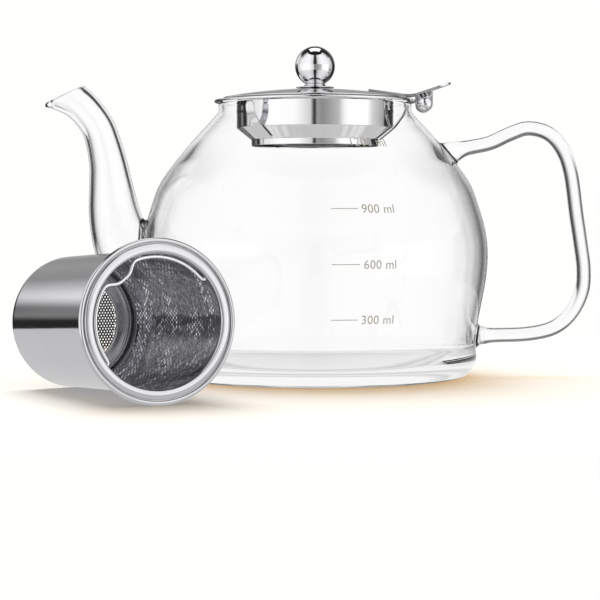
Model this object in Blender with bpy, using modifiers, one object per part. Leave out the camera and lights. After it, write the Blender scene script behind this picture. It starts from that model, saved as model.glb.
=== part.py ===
"""Glass teapot with a hinged steel lid on a drop-in collar, and a removable tea infuser with a folding bail.

Frame: the origin is the centre of the pot's flat base, +Z is up, and +X points to the handle and the lid's
hinge. The infuser lies on the same surface, in front of the spout, with its mouth towards -Y.
"""

import math

import bmesh
import bpy
from mathutils import Matrix, Vector

MM = 0.001
GAP = 0.3 * MM  # what touching pieces keep between them

# Glass body: a flat-based globe with a short neck. Its outside runs through these radii and heights.
RIM_TOP = 112.8 * MM
NECK_RADIUS = 39.9 * MM
GLASS_WALL = 1.9 * MM
RIM_ROUNDING = GLASS_WALL / 2
FLOOR_THICKNESS = 5.0 * MM
BODY_OUTSIDE = [
    (39.9, 109.6),
    (41.4, 107.4),
    (50.0, 97.2),
    (56.3, 91.0),
    (63.5, 80.6),
    (67.9, 69.5),
    (70.5, 59.8),
    (71.4, 51.0),
    (70.7, 40.5),
    (68.6, 29.0),
    (66.7, 19.0),
    (66.0, 13.6),
    (67.0, 8.8),
    (65.6, 3.7),
]
BASE_EDGE = (62.6 * MM, 0.9 * MM)
BASE_RADIUS = 59.5 * MM
INSIDE_FOOT = [(57.5, 5.0), (62.0, 6.6), (63.8, 10.2)]  # the inside's rounding from the floor to the wall
INSIDE_FOOT_TOP = 14.0 * MM

# Spout: an S-curved tapering tube in the XZ plane, begun inside the body. Each entry is x, z and the
# outer radius there.
SPOUT_LINE = [
    (-57.0, 31.9, 15.3),
    (-63.5, 36.5, 14.9),
    (-70.1, 41.1, 14.3),
    (-75.5, 47.3, 13.5),
    (-79.3, 54.4, 12.4),
    (-81.8, 61.4, 11.4),
    (-83.4, 68.9, 10.4),
    (-84.1, 75.1, 9.6),
    (-84.8, 81.3, 8.7),
    (-85.6, 87.8, 7.9),
    (-87.6, 96.7, 7.2),
    (-90.4, 104.2, 6.9),
    (-97.0, 112.4, 6.9),
    (-104.5, 116.8, 7.2),
    (-114.0, 120.0, 7.6),
]
SPOUT_WALL = 1.7 * MM
SPOUT_TOP_CORNER = (-95.7 * MM, 119.8 * MM)
SPOUT_LIP = (-110.6 * MM, 112.8 * MM)
BORE_START = 4.0 * MM  # how far ahead of the spout's line the bore through the body's wall begins
BORE_TOP = 66.0 * MM
SPOUT_SIDES = 20

# Handle: a bent glass rod in the XZ plane, its ends fused to the body.
HANDLE_LINE = [
    (45.5, 89.2),
    (54.0, 91.8),
    (62.0, 94.3),
    (72.0, 96.4),
    (80.0, 100.0),
    (88.0, 102.6),
    (96.4, 100.6),
    (102.3, 94.3),
    (105.9, 84.2),
    (108.3, 67.2),
    (110.1, 55.5),
    (111.5, 44.5),
    (110.8, 34.8),
    (106.2, 25.8),
    (99.2, 20.0),
    (89.0, 17.5),
    (76.0, 16.9),
    (62.0, 16.6),
]
HANDLE_RADIUS = 3.0 * MM
HANDLE_SIDES = 12

# Lid collar: a pressed steel ring that hangs in the neck by its flange.
SHEET = 0.6 * MM
FLANGE_RADIUS = 41.6 * MM
FLANGE_TOP = 114.2 * MM
FLANGE_BOTTOM = RIM_TOP + GAP
COLLAR_RADIUS = 32.4 * MM
CONE_TOP = 102.5 * MM
CONE_BOTTOM = 97.8 * MM
SEAT_RADIUS = 26.4 * MM
COLLAR_BOTTOM = 95.3 * MM

# Spring clips: bent strips welded to the cone, pressing outwards on the neck.
CLIP_ANGLES = {
    "spring_clip_left": math.radians(-134),
    "spring_clip_right": math.radians(-14),
    "spring_clip_back": math.radians(106),
}
CLIP_WIDTH = 4.2 * MM
CLIP_THICKNESS = 0.5 * MM
CLIP_REACH = NECK_RADIUS - GLASS_WALL - GAP
CLIP_FOOT_INSET = 0.5 * MM
CLIP_RUN = 8.0 * MM
CLIP_KNEE = 107.3 * MM
CLIP_BEND = 2.0 * MM
CLIP_TIP = 112.2 * MM

# Hinge behind the collar: its pin lies along Y.
PIN_X = 45.1 * MM
PIN_Z = 112.6 * MM
PIN_RADIUS = 1.1 * MM
PIN_BORE = 1.25 * MM
BARREL_RADIUS = 1.9 * MM
BARREL_HALF_WIDTH = 3.6 * MM
TONGUE_THICKNESS = 1.4 * MM
TONGUE_RISE = 0.6 * MM
RIVET_HEAD_RADIUS = 2.7 * MM
RIVET_HEAD_HEIGHT = 1.3 * MM
RIVET_PLAY = 0.1 * MM
EAR_INSIDE = 4.0 * MM
EAR_THICKNESS = 0.8 * MM
EAR_RADIUS = 3.4 * MM
EAR_FRONT_TOP = 116.2 * MM
EAR_BACK_TOP = 118.7 * MM

# Lid: a shallow dome resting on the flange, with a thumb lever welded to it.
LID_RADIUS = 38.0 * MM
LID_EDGE_BOTTOM = 114.6 * MM
LID_CREST = 118.7 * MM
LEVER_THICKNESS = 0.8 * MM
LEVER_HALF_WIDTH = 6.0 * MM
LEVER_LINE = [(22.0, 118.15), (29.0, 117.2), (37.8, 115.95), (40.5, 116.1), (56.1, 121.2)]

# Knob: a ball on a flared foot, held by a screw from under the lid.
BALL_RADIUS = 8.25 * MM
BALL_HEIGHT = 128.2 * MM
KNOB_BORE = 2.2 * MM
BORE_DEPTH = 8.0 * MM
FOOT_EDGE = (7.9 * MM, 119.5 * MM)
FOOT_NECK = 4.2 * MM
FOOT_THROAT = (5.0 * MM, 0.9 * MM)  # its radius, and its depth under the neck's top
FOOT_SEAT = (6.2 * MM, 118.95 * MM)
SCREW_RADIUS = 1.9 * MM
SCREW_HEAD_RADIUS = 3.8 * MM
SCREW_HEAD_HEIGHT = 1.8 * MM
SCREW_HEAD_CHAMFER = 1.2 * MM
SCREW_TIP_CHAMFER = 0.4 * MM
SLOT_WIDTH = 0.9 * MM
SLOT_DEPTH = 0.7 * MM

# Infuser, in its own frame: +Z runs out of its mouth, and z = 0 is the rim's front face.
INFUSER_RIM_RADIUS = 29.6 * MM
INFUSER_RADIUS = 25.4 * MM
INFUSER_SHEET = 0.5 * MM
INFUSER_LENGTH = 86.0 * MM
RIM_BEAD = 0.9 * MM
MOUTH_RADIUS = 24.1 * MM
RIM_SKIRT = 5.0 * MM
MOUTH_ROUNDING = 0.6 * MM
INFUSER_BASE_INSET = 0.4 * MM
INFUSER_BASE_HEIGHT = 4.0 * MM
INFUSER_BASE_BEND = 0.5 * MM
INFUSER_X = -55.8 * MM
INFUSER_Y = -127.6 * MM
INFUSER_HEADING = math.radians(26.5)

# Bail: a wire half-ring folded into the mouth, with a finger dent half-way round.
BAIL_WIRE = 0.7 * MM
BAIL_RADIUS = 22.9 * MM
BAIL_DEPTH = 2.2 * MM
BAIL_PIVOT_ANGLE = math.radians(38)
BAIL_DENT = 3.7 * MM
BAIL_DENT_HALF_ANGLE = math.radians(14)
BAIL_CORNER = math.radians(4)
BAIL_CORNER_BULGE = 0.3 * MM
BAIL_END = 0.7 * MM  # how far each end reaches into the rim's skirt
PIVOT_HOLE = 1.0 * MM

BODY_STEPS = 40
RING_STEPS = 40
SMALL_STEPS = 24
SCREW_STEPS = 16
BAIL_STEPS = 40
WIRE_SIDES = 8

PARTS = bpy.data.collections.new("glass_teapot")
CUTTERS = bpy.data.collections.new("cutters")


def clear_scene():
    for item in list(bpy.data.objects):
        bpy.data.objects.remove(item)


def material(name, colour, roughness, metallic, transmission=0.0):
    made = bpy.data.materials.new(name)
    made.use_nodes = True
    shader = made.node_tree.nodes["Principled BSDF"]
    shader.inputs["Base Color"].default_value = (*colour, 1.0)
    shader.inputs["Roughness"].default_value = roughness
    shader.inputs["Metallic"].default_value = metallic
    shader.inputs["Transmission Weight"].default_value = transmission
    return made


def place(name, data, finish=None, parent=None):
    """A new part, or a cutter when it has no finish."""
    item = bpy.data.objects.new(name, data)
    if finish is None:
        item.hide_render = True
        item.display_type = "WIRE"
        CUTTERS.objects.link(item)
    else:
        data.materials.append(finish)
        PARTS.objects.link(item)
    item.parent = parent
    return item


def in_metres(points):
    return [tuple(value * MM for value in point) for point in points]


def smooth_path(points, per_span):
    """A Catmull-Rom curve through the points, with per_span steps between neighbours."""
    points = [Vector(point) for point in points]
    ends = [2 * points[0] - points[1], *points, 2 * points[-1] - points[-2]]
    path = []
    for before, start, end, after in zip(ends, ends[1:], ends[2:], ends[3:]):
        for step in range(per_span):
            t = step / per_span
            linear = (end - before) * t
            square = (2 * before - 5 * start + 4 * end - after) * t**2
            cube = (3 * start - before - 3 * end + after) * t**3
            path.append(start + (linear + square + cube) / 2)
    path.append(points[-1])
    return path


def arc(centre, radius, start, end, steps):
    """Points (r, z) on an arc, with its angles in degrees from +r towards +z."""
    points = []
    for step in range(steps + 1):
        angle = math.radians(start + (end - start) * step / steps)
        points.append((centre[0] + radius * math.cos(angle), centre[1] + radius * math.sin(angle)))
    return points


def profile_mesh(name, points, closed):
    mesh = bpy.data.meshes.new(name)
    count = len(points)
    edges = [(index, index + 1) for index in range(count - 1)]
    if closed:
        edges.append((count - 1, 0))
    mesh.from_pydata([(point[0], 0, point[1]) for point in points], edges, [])
    return mesh


def turned(name, points, steps, finish=None, parent=None, closed=True):
    """A solid of revolution about Z. The profile runs down its outer side, in (r, z)."""
    item = place(name, profile_mesh(name, points, closed), finish, parent)
    screw = item.modifiers.new("Turn", "SCREW")
    screw.steps = steps
    screw.render_steps = steps
    screw.use_merge_vertices = True
    screw.merge_threshold = 0.01 * MM
    screw.use_smooth_shade = True
    return item


def flat_plate(name, outline, thickness, matrix, finish=None, parent=None):
    """A plate from a closed outline in its own XY plane, centred on that plane and moved by the matrix."""
    curve = bpy.data.curves.new(name, "CURVE")
    curve.dimensions = "2D"
    curve.fill_mode = "BOTH"
    curve.extrude = thickness / 2
    spline = curve.splines.new("POLY")
    spline.points.add(len(outline) - 1)
    for target, point in zip(spline.points, outline):
        target.co = (point[0], point[1], 0, 1)
    spline.use_cyclic_u = True
    item = place(name, curve, finish, parent)
    item.matrix_local = matrix
    return item


def tube(name, path, radii, sides, capped, finish=None, parent=None):
    """A round tube along the path, with its own radius at each point. Its sides are an even number."""
    curve = bpy.data.curves.new(name, "CURVE")
    curve.dimensions = "3D"
    curve.bevel_depth = 1.0
    curve.bevel_resolution = sides // 2 - 2
    curve.use_fill_caps = capped
    spline = curve.splines.new("POLY")
    spline.points.add(len(path) - 1)
    for target, point, radius in zip(spline.points, path, radii):
        target.co = (*point, 1)
        target.radius = radius
    return place(name, curve, finish, parent)


def as_mesh(item):
    """The same object with its curve turned into a mesh, its caps welded on."""
    graph = bpy.context.evaluated_depsgraph_get()
    mesh = bpy.data.meshes.new_from_object(item.evaluated_get(graph))
    shape = bmesh.new()
    shape.from_mesh(mesh)
    bmesh.ops.remove_doubles(shape, verts=shape.verts, dist=0.001 * MM)
    shape.to_mesh(mesh)
    shape.free()
    name, parent, matrix = item.name, item.parent, item.matrix_world.copy()
    homes = list(item.users_collection)
    hidden, display = item.hide_render, item.display_type
    bpy.data.objects.remove(item)
    made = bpy.data.objects.new(name, mesh)
    made.hide_render = hidden
    made.display_type = display
    for home in homes:
        home.objects.link(made)
    made.parent = parent
    made.matrix_world = matrix
    bpy.context.view_layer.update()
    return made


def combine(item, other, operation):
    step = item.modifiers.new(f"{operation.title()} {other.name}", "BOOLEAN")
    step.object = other
    step.operation = operation


def cut(item, cutter):
    combine(item, cutter, "DIFFERENCE")


def join(item, helper):
    combine(item, helper, "UNION")


def cylinder(name, radius, length, matrix, finish=None, parent=None, sides=SMALL_STEPS):
    """A cylinder centred on the matrix's origin, along its Z."""
    mesh = bpy.data.meshes.new(name)
    shape = bmesh.new()
    bmesh.ops.create_cone(
        shape, cap_ends=True, segments=sides, radius1=radius, radius2=radius, depth=length
    )
    shape.to_mesh(mesh)
    shape.free()
    item = place(name, mesh, finish, parent)
    item.matrix_local = matrix
    return item


def box(name, size, matrix, finish=None, parent=None):
    mesh = bpy.data.meshes.new(name)
    shape = bmesh.new()
    bmesh.ops.create_cube(shape, size=1.0, matrix=Matrix.Diagonal((*size, 1)))
    shape.to_mesh(mesh)
    shape.free()
    item = place(name, mesh, finish, parent)
    item.matrix_local = matrix
    return item


def empty(name, location, parent=None):
    """A pivot or a frame that pieces hang on."""
    item = bpy.data.objects.new(name, None)
    item.location = location
    item.parent = parent
    PARTS.objects.link(item)
    return item


# The plane of a side view: its X is the world's X and its Y is the world's Z, so its normal is -Y.
SIDE_VIEW = Matrix.Rotation(math.radians(90), 4, "X")


def side_plate(name, outline, width, finish=None, parent=None, middle=0.0):
    """A plate whose outline is in (x, z), extruded along Y about the given middle."""
    matrix = Matrix.Translation((0, middle, 0)) @ SIDE_VIEW
    return flat_plate(name, outline, width, matrix, finish, parent)


def thick_line(points, thickness):
    """The closed outline of a bent strip whose middle runs through the points."""
    points = [Vector(point) for point in points]
    left = []
    right = []
    for index, point in enumerate(points):
        arrive = (point - points[index - 1]).normalized() if index else None
        leave = (points[index + 1] - point).normalized() if index < len(points) - 1 else arrive
        arrive = arrive or leave
        along = (arrive + leave).normalized()
        reach = thickness / 2 / max(along.dot(leave), 0.5)
        side = Vector((-along.y, along.x)) * reach
        left.append(point + side)
        right.append(point - side)
    return left + right[::-1]


def body_outline(grown=0.0):
    """The glass body's outside, from the neck's top down to the base's edge, moved out by grown."""
    path = smooth_path(in_metres(BODY_OUTSIDE), 2)
    path = [Vector((NECK_RADIUS, RIM_TOP - RIM_ROUNDING)), *path, Vector(BASE_EDGE)]
    if not grown:
        return path
    return offset_line(path, grown)


def offset_line(path, distance):
    """The line moved sideways: to its left as it runs down an outer side, which is outwards."""
    moved = []
    for index, point in enumerate(path):
        before = path[max(index - 1, 0)]
        after = path[min(index + 1, len(path) - 1)]
        along = (after - before).normalized()
        moved.append(point + Vector((-along.y, along.x)) * distance)
    return moved


def make_glass_body(glass):
    outside = body_outline()
    inside = [point for point in offset_line(outside, -GLASS_WALL)[::2] if point.y > INSIDE_FOOT_TOP]
    rim = arc((NECK_RADIUS - RIM_ROUNDING, RIM_TOP - RIM_ROUNDING), RIM_ROUNDING, 135, 45, 2)
    profile = [
        (0, FLOOR_THICKNESS),
        *in_metres(INSIDE_FOOT),
        *reversed(inside),
        *rim,
        *outside,
        (BASE_RADIUS, 0),
        (0, 0),
    ]
    return turned("glass_body", profile, BODY_STEPS, glass, closed=False)


def grown_body(name):
    """A solid of the body's outer shape, one gap larger all round."""
    outside = body_outline(GAP)
    profile = [(0, RIM_TOP), (NECK_RADIUS + GAP, RIM_TOP), *outside, (BASE_RADIUS, -GAP), (0, -GAP)]
    return turned(name, profile, BODY_STEPS, closed=False)


def spout_path():
    stations = smooth_path(in_metres(SPOUT_LINE), 2)
    path = [(station[0], 0, station[1]) for station in stations]
    radii = [station[2] for station in stations]
    return path, radii


def make_spout(glass, body_cutter):
    path, radii = spout_path()
    spout = as_mesh(tube("spout", path, radii, SPOUT_SIDES, False, glass))
    wall = spout.modifiers.new("Wall", "SOLIDIFY")
    wall.thickness = SPOUT_WALL
    wall.offset = -1
    wall.use_even_offset = True
    cut(spout, body_cutter)
    cut(spout, mouth_cutter())
    return spout


def mouth_cutter():
    """A block whose lower face is the oblique plane of the spout's mouth."""
    corner = Vector((SPOUT_TOP_CORNER[0], 0, SPOUT_TOP_CORNER[1]))
    lip = Vector((SPOUT_LIP[0], 0, SPOUT_LIP[1]))
    slope = math.atan2(corner.z - lip.z, corner.x - lip.x)
    size = 40 * MM
    tilt = Matrix.Rotation(-slope, 4, "Y")
    matrix = Matrix.Translation((corner + lip) / 2) @ tilt @ Matrix.Translation((0, 0, size / 2))
    return box("spout_mouth_cutter", (size, size, size), matrix)


def cut_spout_bore(body):
    """Opens the body's wall into the spout."""
    path, radii = spout_path()
    inner = [radius - SPOUT_WALL for radius in radii]
    last = next(index for index, point in enumerate(path) if point[2] > BORE_TOP)
    start = Vector(path[0]) - (Vector(path[1]) - Vector(path[0])).normalized() * BORE_START
    inner = [inner[0], *inner[:last]]
    bore = tube("spout_bore_cutter", [start, *path[:last]], inner, SPOUT_SIDES, True)
    cut(body, as_mesh(bore))


def make_handle(glass, body_cutter):
    path = [(x, 0, z) for x, z in smooth_path(in_metres(HANDLE_LINE), 2)]
    handle = as_mesh(tube("handle", path, [HANDLE_RADIUS] * len(path), HANDLE_SIDES, True, glass))
    cut(handle, body_cutter)
    return handle


def make_lid_collar(steel):
    edge = (FLANGE_TOP - FLANGE_BOTTOM) / 2
    profile = [
        *arc((FLANGE_RADIUS - edge, FLANGE_TOP - edge), edge, 90, -90, 4),
        (COLLAR_RADIUS + SHEET, FLANGE_BOTTOM),
        (COLLAR_RADIUS, FLANGE_BOTTOM - SHEET),
        (COLLAR_RADIUS, CONE_TOP),
        (SEAT_RADIUS, CONE_BOTTOM),
        (SEAT_RADIUS, COLLAR_BOTTOM),
        (SEAT_RADIUS - SHEET, COLLAR_BOTTOM),
        (SEAT_RADIUS - SHEET, CONE_BOTTOM + SHEET / 2),
        (COLLAR_RADIUS - SHEET, CONE_TOP + SHEET / 2),
        (COLLAR_RADIUS - SHEET, FLANGE_TOP - SHEET),
        (COLLAR_RADIUS, FLANGE_TOP),
    ]
    return turned("lid_collar", profile, RING_STEPS, steel)


def make_spring_clips(steel):
    """Each strip lies on the cone, runs on outwards in line with it, and turns up along the neck."""
    away = CLIP_THICKNESS / 2 + GAP
    slope = Vector((COLLAR_RADIUS - SEAT_RADIUS, CONE_TOP - CONE_BOTTOM)).normalized()
    normal = Vector((slope.y, -slope.x))
    foot = Vector((SEAT_RADIUS, CONE_BOTTOM)) + normal * away + slope * CLIP_FOOT_INSET
    reach = CLIP_REACH - CLIP_THICKNESS / 2
    knee = Vector((reach - CLIP_THICKNESS, CLIP_KNEE))
    line = [foot, foot + slope * CLIP_RUN, knee, (reach, CLIP_KNEE + CLIP_BEND), (reach, CLIP_TIP)]
    outline = thick_line(line, CLIP_THICKNESS)
    for name, angle in CLIP_ANGLES.items():
        matrix = Matrix.Rotation(angle, 4, "Z") @ SIDE_VIEW
        flat_plate(name, outline, CLIP_WIDTH, matrix, steel)


def along_pin():
    return Matrix.Translation((PIN_X, 0, PIN_Z)) @ Matrix.Rotation(math.radians(90), 4, "X")


def cap_radius(half_width, height):
    """The radius of the sphere whose cap has this half width and height."""
    return (half_width**2 + height**2) / (2 * height)


def make_hinge_knuckle(steel):
    """A barrel round the pin, with a tongue that is welded to the flange's edge."""
    width = 2 * BARREL_HALF_WIDTH
    knuckle = cylinder("hinge_knuckle", BARREL_RADIUS, width, along_pin(), steel)
    start = FLANGE_RADIUS + GAP
    tongue = (PIN_X - start, width, TONGUE_THICKNESS)
    middle = Matrix.Translation(((PIN_X + start) / 2, 0, PIN_Z + TONGUE_RISE))
    join(knuckle, box("knuckle_tongue_helper", tongue, middle))
    cut(knuckle, cylinder("knuckle_bore_cutter", PIN_BORE, 2 * width, along_pin()))
    return knuckle


def make_hinge_pin(steel):
    """A rivet with a domed head outside each of the lever's ears."""
    outside = EAR_INSIDE + EAR_THICKNESS + RIVET_PLAY
    sphere = cap_radius(RIVET_HEAD_RADIUS, RIVET_HEAD_HEIGHT)
    spread = math.degrees(math.asin(RIVET_HEAD_RADIUS / sphere))
    centre = outside + RIVET_HEAD_HEIGHT - sphere
    half = [(0, centre + sphere), *arc((0, centre), sphere, 90, 90 - spread, 5)[1:]]
    half.append((PIN_RADIUS, outside))
    other = [(radius, -along) for radius, along in reversed(half)]
    pin = turned("hinge_pin", half + other, SCREW_STEPS, steel, closed=False)
    pin.matrix_local = along_pin()
    return pin


def make_thumb_lever(steel, lid_pivot):
    """A bent strip with a rounded tip, and two ears that hang down over the pin."""
    strip = thick_line(in_metres(LEVER_LINE), LEVER_THICKNESS)
    lever = as_mesh(side_plate("thumb_lever", strip, 2 * LEVER_HALF_WIDTH, steel))
    front_top = (PIN_X - EAR_RADIUS, EAR_FRONT_TOP)
    back_top = (PIN_X + EAR_RADIUS, EAR_BACK_TOP)
    outline = [back_top, front_top, *arc((PIN_X, PIN_Z), EAR_RADIUS, 180, 360, 12)]
    for side in (-1, 1):
        middle = side * (EAR_INSIDE + EAR_THICKNESS / 2)
        join(lever, as_mesh(side_plate(f"ear_helper_{side}", outline, EAR_THICKNESS, middle=middle)))
    cut(lever, cylinder("ear_bore_cutter", PIN_BORE, 4 * LEVER_HALF_WIDTH, along_pin()))
    cut(lever, tip_cutter())
    hang_on(lever, lid_pivot)
    return lever


def tip_cutter():
    """What lies outside the round end of the lever: a block with a half-round notch."""
    tip, height = in_metres(LEVER_LINE)[-1]
    centre = Matrix.Translation((tip - LEVER_HALF_WIDTH, 0, height))
    size = 4 * LEVER_HALF_WIDTH
    block = box("tip_cutter", (size, size, size), centre @ Matrix.Translation((size / 2, 0, 0)))
    cut(block, cylinder("tip_notch_cutter", LEVER_HALF_WIDTH, 2 * size, centre, sides=RING_STEPS))
    return block


def hang_on(item, pivot):
    """Parents the item without moving it."""
    bpy.context.view_layer.update()
    item.parent = pivot
    item.matrix_parent_inverse = pivot.matrix_world.inverted()


def dome(crest, steps):
    """Points from the knob's hole out to the lid's edge on a cap that falls from crest to the edge."""
    sphere = cap_radius(LID_RADIUS, LID_CREST - (LID_EDGE_BOTTOM + SHEET))
    start = math.degrees(math.asin(KNOB_BORE / sphere))
    end = math.degrees(math.asin(LID_RADIUS / sphere))
    return arc((0, crest - sphere), sphere, 90 - start, 90 - end, steps)


def make_lid_plate(steel, lid_pivot):
    top = dome(LID_CREST, 9)
    under = dome(LID_CREST - SHEET, 5)
    edge = (LID_RADIUS + SHEET / 3, LID_EDGE_BOTTOM + SHEET / 2)
    lid = turned("lid_plate", [*top, edge, *reversed(under)], RING_STEPS, steel)
    hang_on(lid, lid_pivot)
    return lid


def make_knob_ball(steel, lid_pivot):
    start = math.degrees(math.acos(KNOB_BORE / BALL_RADIUS))
    ball = arc((0, BALL_HEIGHT), BALL_RADIUS, 90, -start, 14)
    ball[0] = (0, BALL_HEIGHT + BALL_RADIUS)
    depth = BALL_HEIGHT - BALL_RADIUS + BORE_DEPTH
    knob = turned("knob_ball", [*ball, (KNOB_BORE, depth), (0, depth)], SMALL_STEPS, steel, closed=False)
    hang_on(knob, lid_pivot)
    return knob


def make_knob_foot(steel, lid_pivot):
    """A trumpet-shaped ring between the ball and the lid."""
    top = BALL_HEIGHT - math.sqrt(BALL_RADIUS**2 - FOOT_NECK**2) - GAP
    throat = (FOOT_THROAT[0], top - FOOT_THROAT[1])
    profile = [
        *smooth_path([(FOOT_NECK, top), throat, FOOT_EDGE], 3),
        (FOOT_EDGE[0], FOOT_EDGE[1] - SHEET / 2),
        FOOT_SEAT,
        (KNOB_BORE, FOOT_SEAT[1]),
        (KNOB_BORE, top - SHEET),
    ]
    foot = turned("knob_foot", profile, SMALL_STEPS, steel)
    hang_on(foot, lid_pivot)
    return foot


def make_knob_screw(steel, lid_pivot):
    head_top = LID_CREST - SHEET - GAP
    head_bottom = head_top - SCREW_HEAD_HEIGHT
    tip = BALL_HEIGHT - BALL_RADIUS + BORE_DEPTH - GAP
    profile = [
        (0, tip),
        (SCREW_RADIUS - SCREW_TIP_CHAMFER, tip),
        (SCREW_RADIUS, tip - SCREW_TIP_CHAMFER),
        (SCREW_RADIUS, head_top),
        (SCREW_HEAD_RADIUS, head_top),
        (SCREW_HEAD_RADIUS, (head_top + head_bottom) / 2),
        (SCREW_HEAD_RADIUS - SCREW_HEAD_CHAMFER, head_bottom),
        (0, head_bottom),
    ]
    screw = turned("knob_screw", profile, SCREW_STEPS, steel, closed=False)
    slot = (3 * SCREW_HEAD_RADIUS, SLOT_WIDTH, 2 * SLOT_DEPTH)
    cut(screw, box("slot_cutter", slot, Matrix.Translation((0, 0, head_bottom))))
    hang_on(screw, lid_pivot)
    return screw


def infuser_frame():
    """An empty at the middle of the infuser's mouth. It lies on its rim's edge and its base's edge."""
    run = INFUSER_LENGTH - RIM_BEAD
    tilt = math.atan2(INFUSER_RIM_RADIUS - INFUSER_RADIUS, run)
    height = RIM_BEAD * math.sin(tilt) + INFUSER_RIM_RADIUS * math.cos(tilt)
    frame = empty("infuser_frame", (INFUSER_X, INFUSER_Y, height))
    frame.rotation_euler = (math.radians(90) - tilt, 0, INFUSER_HEADING)
    return frame


def make_infuser_wall(steel, frame):
    top = -2 * RIM_BEAD - GAP
    profile = [
        (INFUSER_RADIUS, top),
        (INFUSER_RADIUS, -INFUSER_LENGTH),
        (INFUSER_RADIUS - INFUSER_SHEET, -INFUSER_LENGTH),
        (INFUSER_RADIUS - INFUSER_SHEET, top),
    ]
    return turned("infuser_wall", profile, RING_STEPS, steel, frame)


def make_infuser_base(steel, frame):
    """A flat disc with a turned-up edge, fitted inside the wall."""
    radius = INFUSER_RADIUS - INFUSER_SHEET - GAP
    inside = radius - INFUSER_SHEET
    bottom = -INFUSER_LENGTH + INFUSER_BASE_INSET
    floor = bottom + INFUSER_SHEET
    top = bottom + INFUSER_BASE_HEIGHT
    profile = [
        (0, floor),
        (inside - INFUSER_BASE_BEND, floor),
        (inside, floor + INFUSER_BASE_BEND),
        (inside, top),
        (radius, top),
        (radius, bottom + INFUSER_BASE_BEND),
        (radius - INFUSER_BASE_BEND, bottom),
        (0, bottom),
    ]
    return turned("infuser_base", profile, RING_STEPS, steel, frame, closed=False)


def make_infuser_rim(steel, frame):
    """A flat ring with a beaded edge, and a skirt down the inside of the wall that holds the bail."""
    flange = 2 * RIM_BEAD
    skirt_outside = INFUSER_RADIUS - INFUSER_SHEET - GAP
    profile = [
        (MOUTH_RADIUS + MOUTH_ROUNDING, 0),
        *arc((INFUSER_RIM_RADIUS - RIM_BEAD, -RIM_BEAD), RIM_BEAD, 90, -90, 6),
        (skirt_outside, -flange),
        (skirt_outside, -RIM_SKIRT),
        (MOUTH_RADIUS, -RIM_SKIRT),
        (MOUTH_RADIUS, -MOUTH_ROUNDING),
    ]
    rim = turned("infuser_rim", profile, RING_STEPS, steel, frame)
    turn = Matrix.Rotation(BAIL_PIVOT_ANGLE, 4, "Z") @ Matrix.Rotation(math.radians(90), 4, "Y")
    across = Matrix.Translation((0, 0, -BAIL_DEPTH)) @ turn
    length = 2 * (MOUTH_RADIUS + BAIL_END + GAP)
    cut(rim, cylinder("pivot_hole_cutter", PIVOT_HOLE, length, across, parent=frame, sides=SCREW_STEPS))
    return rim


def make_infuser_bail(steel, frame):
    """The wire's ends lie along the hinge axis, a diameter of the mouth, and its arc bends round from one
    to the other with a dent half-way for a fingertip."""
    pivot = empty("bail_pivot", (0, 0, -BAIL_DEPTH), frame)
    middle = BAIL_PIVOT_ANGLE + math.radians(90)
    far = BAIL_PIVOT_ANGLE + math.pi
    end_radius = MOUTH_RADIUS + BAIL_END
    corner_radius = BAIL_RADIUS + BAIL_CORNER_BULGE
    path = [polar(end_radius, BAIL_PIVOT_ANGLE), polar(corner_radius, BAIL_PIVOT_ANGLE)]
    for step in range(BAIL_STEPS + 1):
        angle = BAIL_PIVOT_ANGLE + BAIL_CORNER + (math.pi - 2 * BAIL_CORNER) * step / BAIL_STEPS
        dent = BAIL_DENT * math.exp(-(((angle - middle) / BAIL_DENT_HALF_ANGLE) ** 4))
        path.append(polar(BAIL_RADIUS - dent, angle))
    path += [polar(corner_radius, far), polar(end_radius, far)]
    return tube("infuser_bail", path, [BAIL_WIRE] * len(path), WIRE_SIDES, True, steel, pivot)


def polar(radius, angle):
    return (radius * math.cos(angle), radius * math.sin(angle), 0)


def main():
    clear_scene()
    bpy.context.scene.collection.children.link(PARTS)
    bpy.context.scene.collection.children.link(CUTTERS)
    glass = material("clear_glass", (0.95, 0.97, 0.97), 0.02, 0.0, transmission=1.0)
    steel = material("polished_steel", (0.78, 0.78, 0.80), 0.12, 1.0)
    wire = material("bright_wire", (0.82, 0.82, 0.84), 0.15, 1.0)
    satin = material("satin_steel", (0.66, 0.66, 0.69), 0.3, 1.0)

    body_cutter = grown_body("grown_body_cutter")
    body = make_glass_body(glass)
    cut_spout_bore(body)
    make_spout(glass, body_cutter)
    make_handle(glass, body_cutter)

    make_lid_collar(steel)
    make_spring_clips(steel)
    make_hinge_knuckle(steel)
    make_hinge_pin(steel)

    lid_pivot = empty("lid_pivot", (PIN_X, 0, PIN_Z))
    make_lid_plate(steel, lid_pivot)
    make_thumb_lever(steel, lid_pivot)
    make_knob_ball(steel, lid_pivot)
    make_knob_foot(steel, lid_pivot)
    make_knob_screw(steel, lid_pivot)

    frame = infuser_frame()
    make_infuser_wall(satin, frame)
    make_infuser_base(satin, frame)
    make_infuser_rim(steel, frame)
    make_infuser_bail(wire, frame)
    bpy.context.view_layer.update()


main()
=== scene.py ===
"""Looks of the glass teapot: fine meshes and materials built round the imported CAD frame."""

import math

import bmesh
import bpy
import numpy as np
from mathutils import Matrix, Vector


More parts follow.
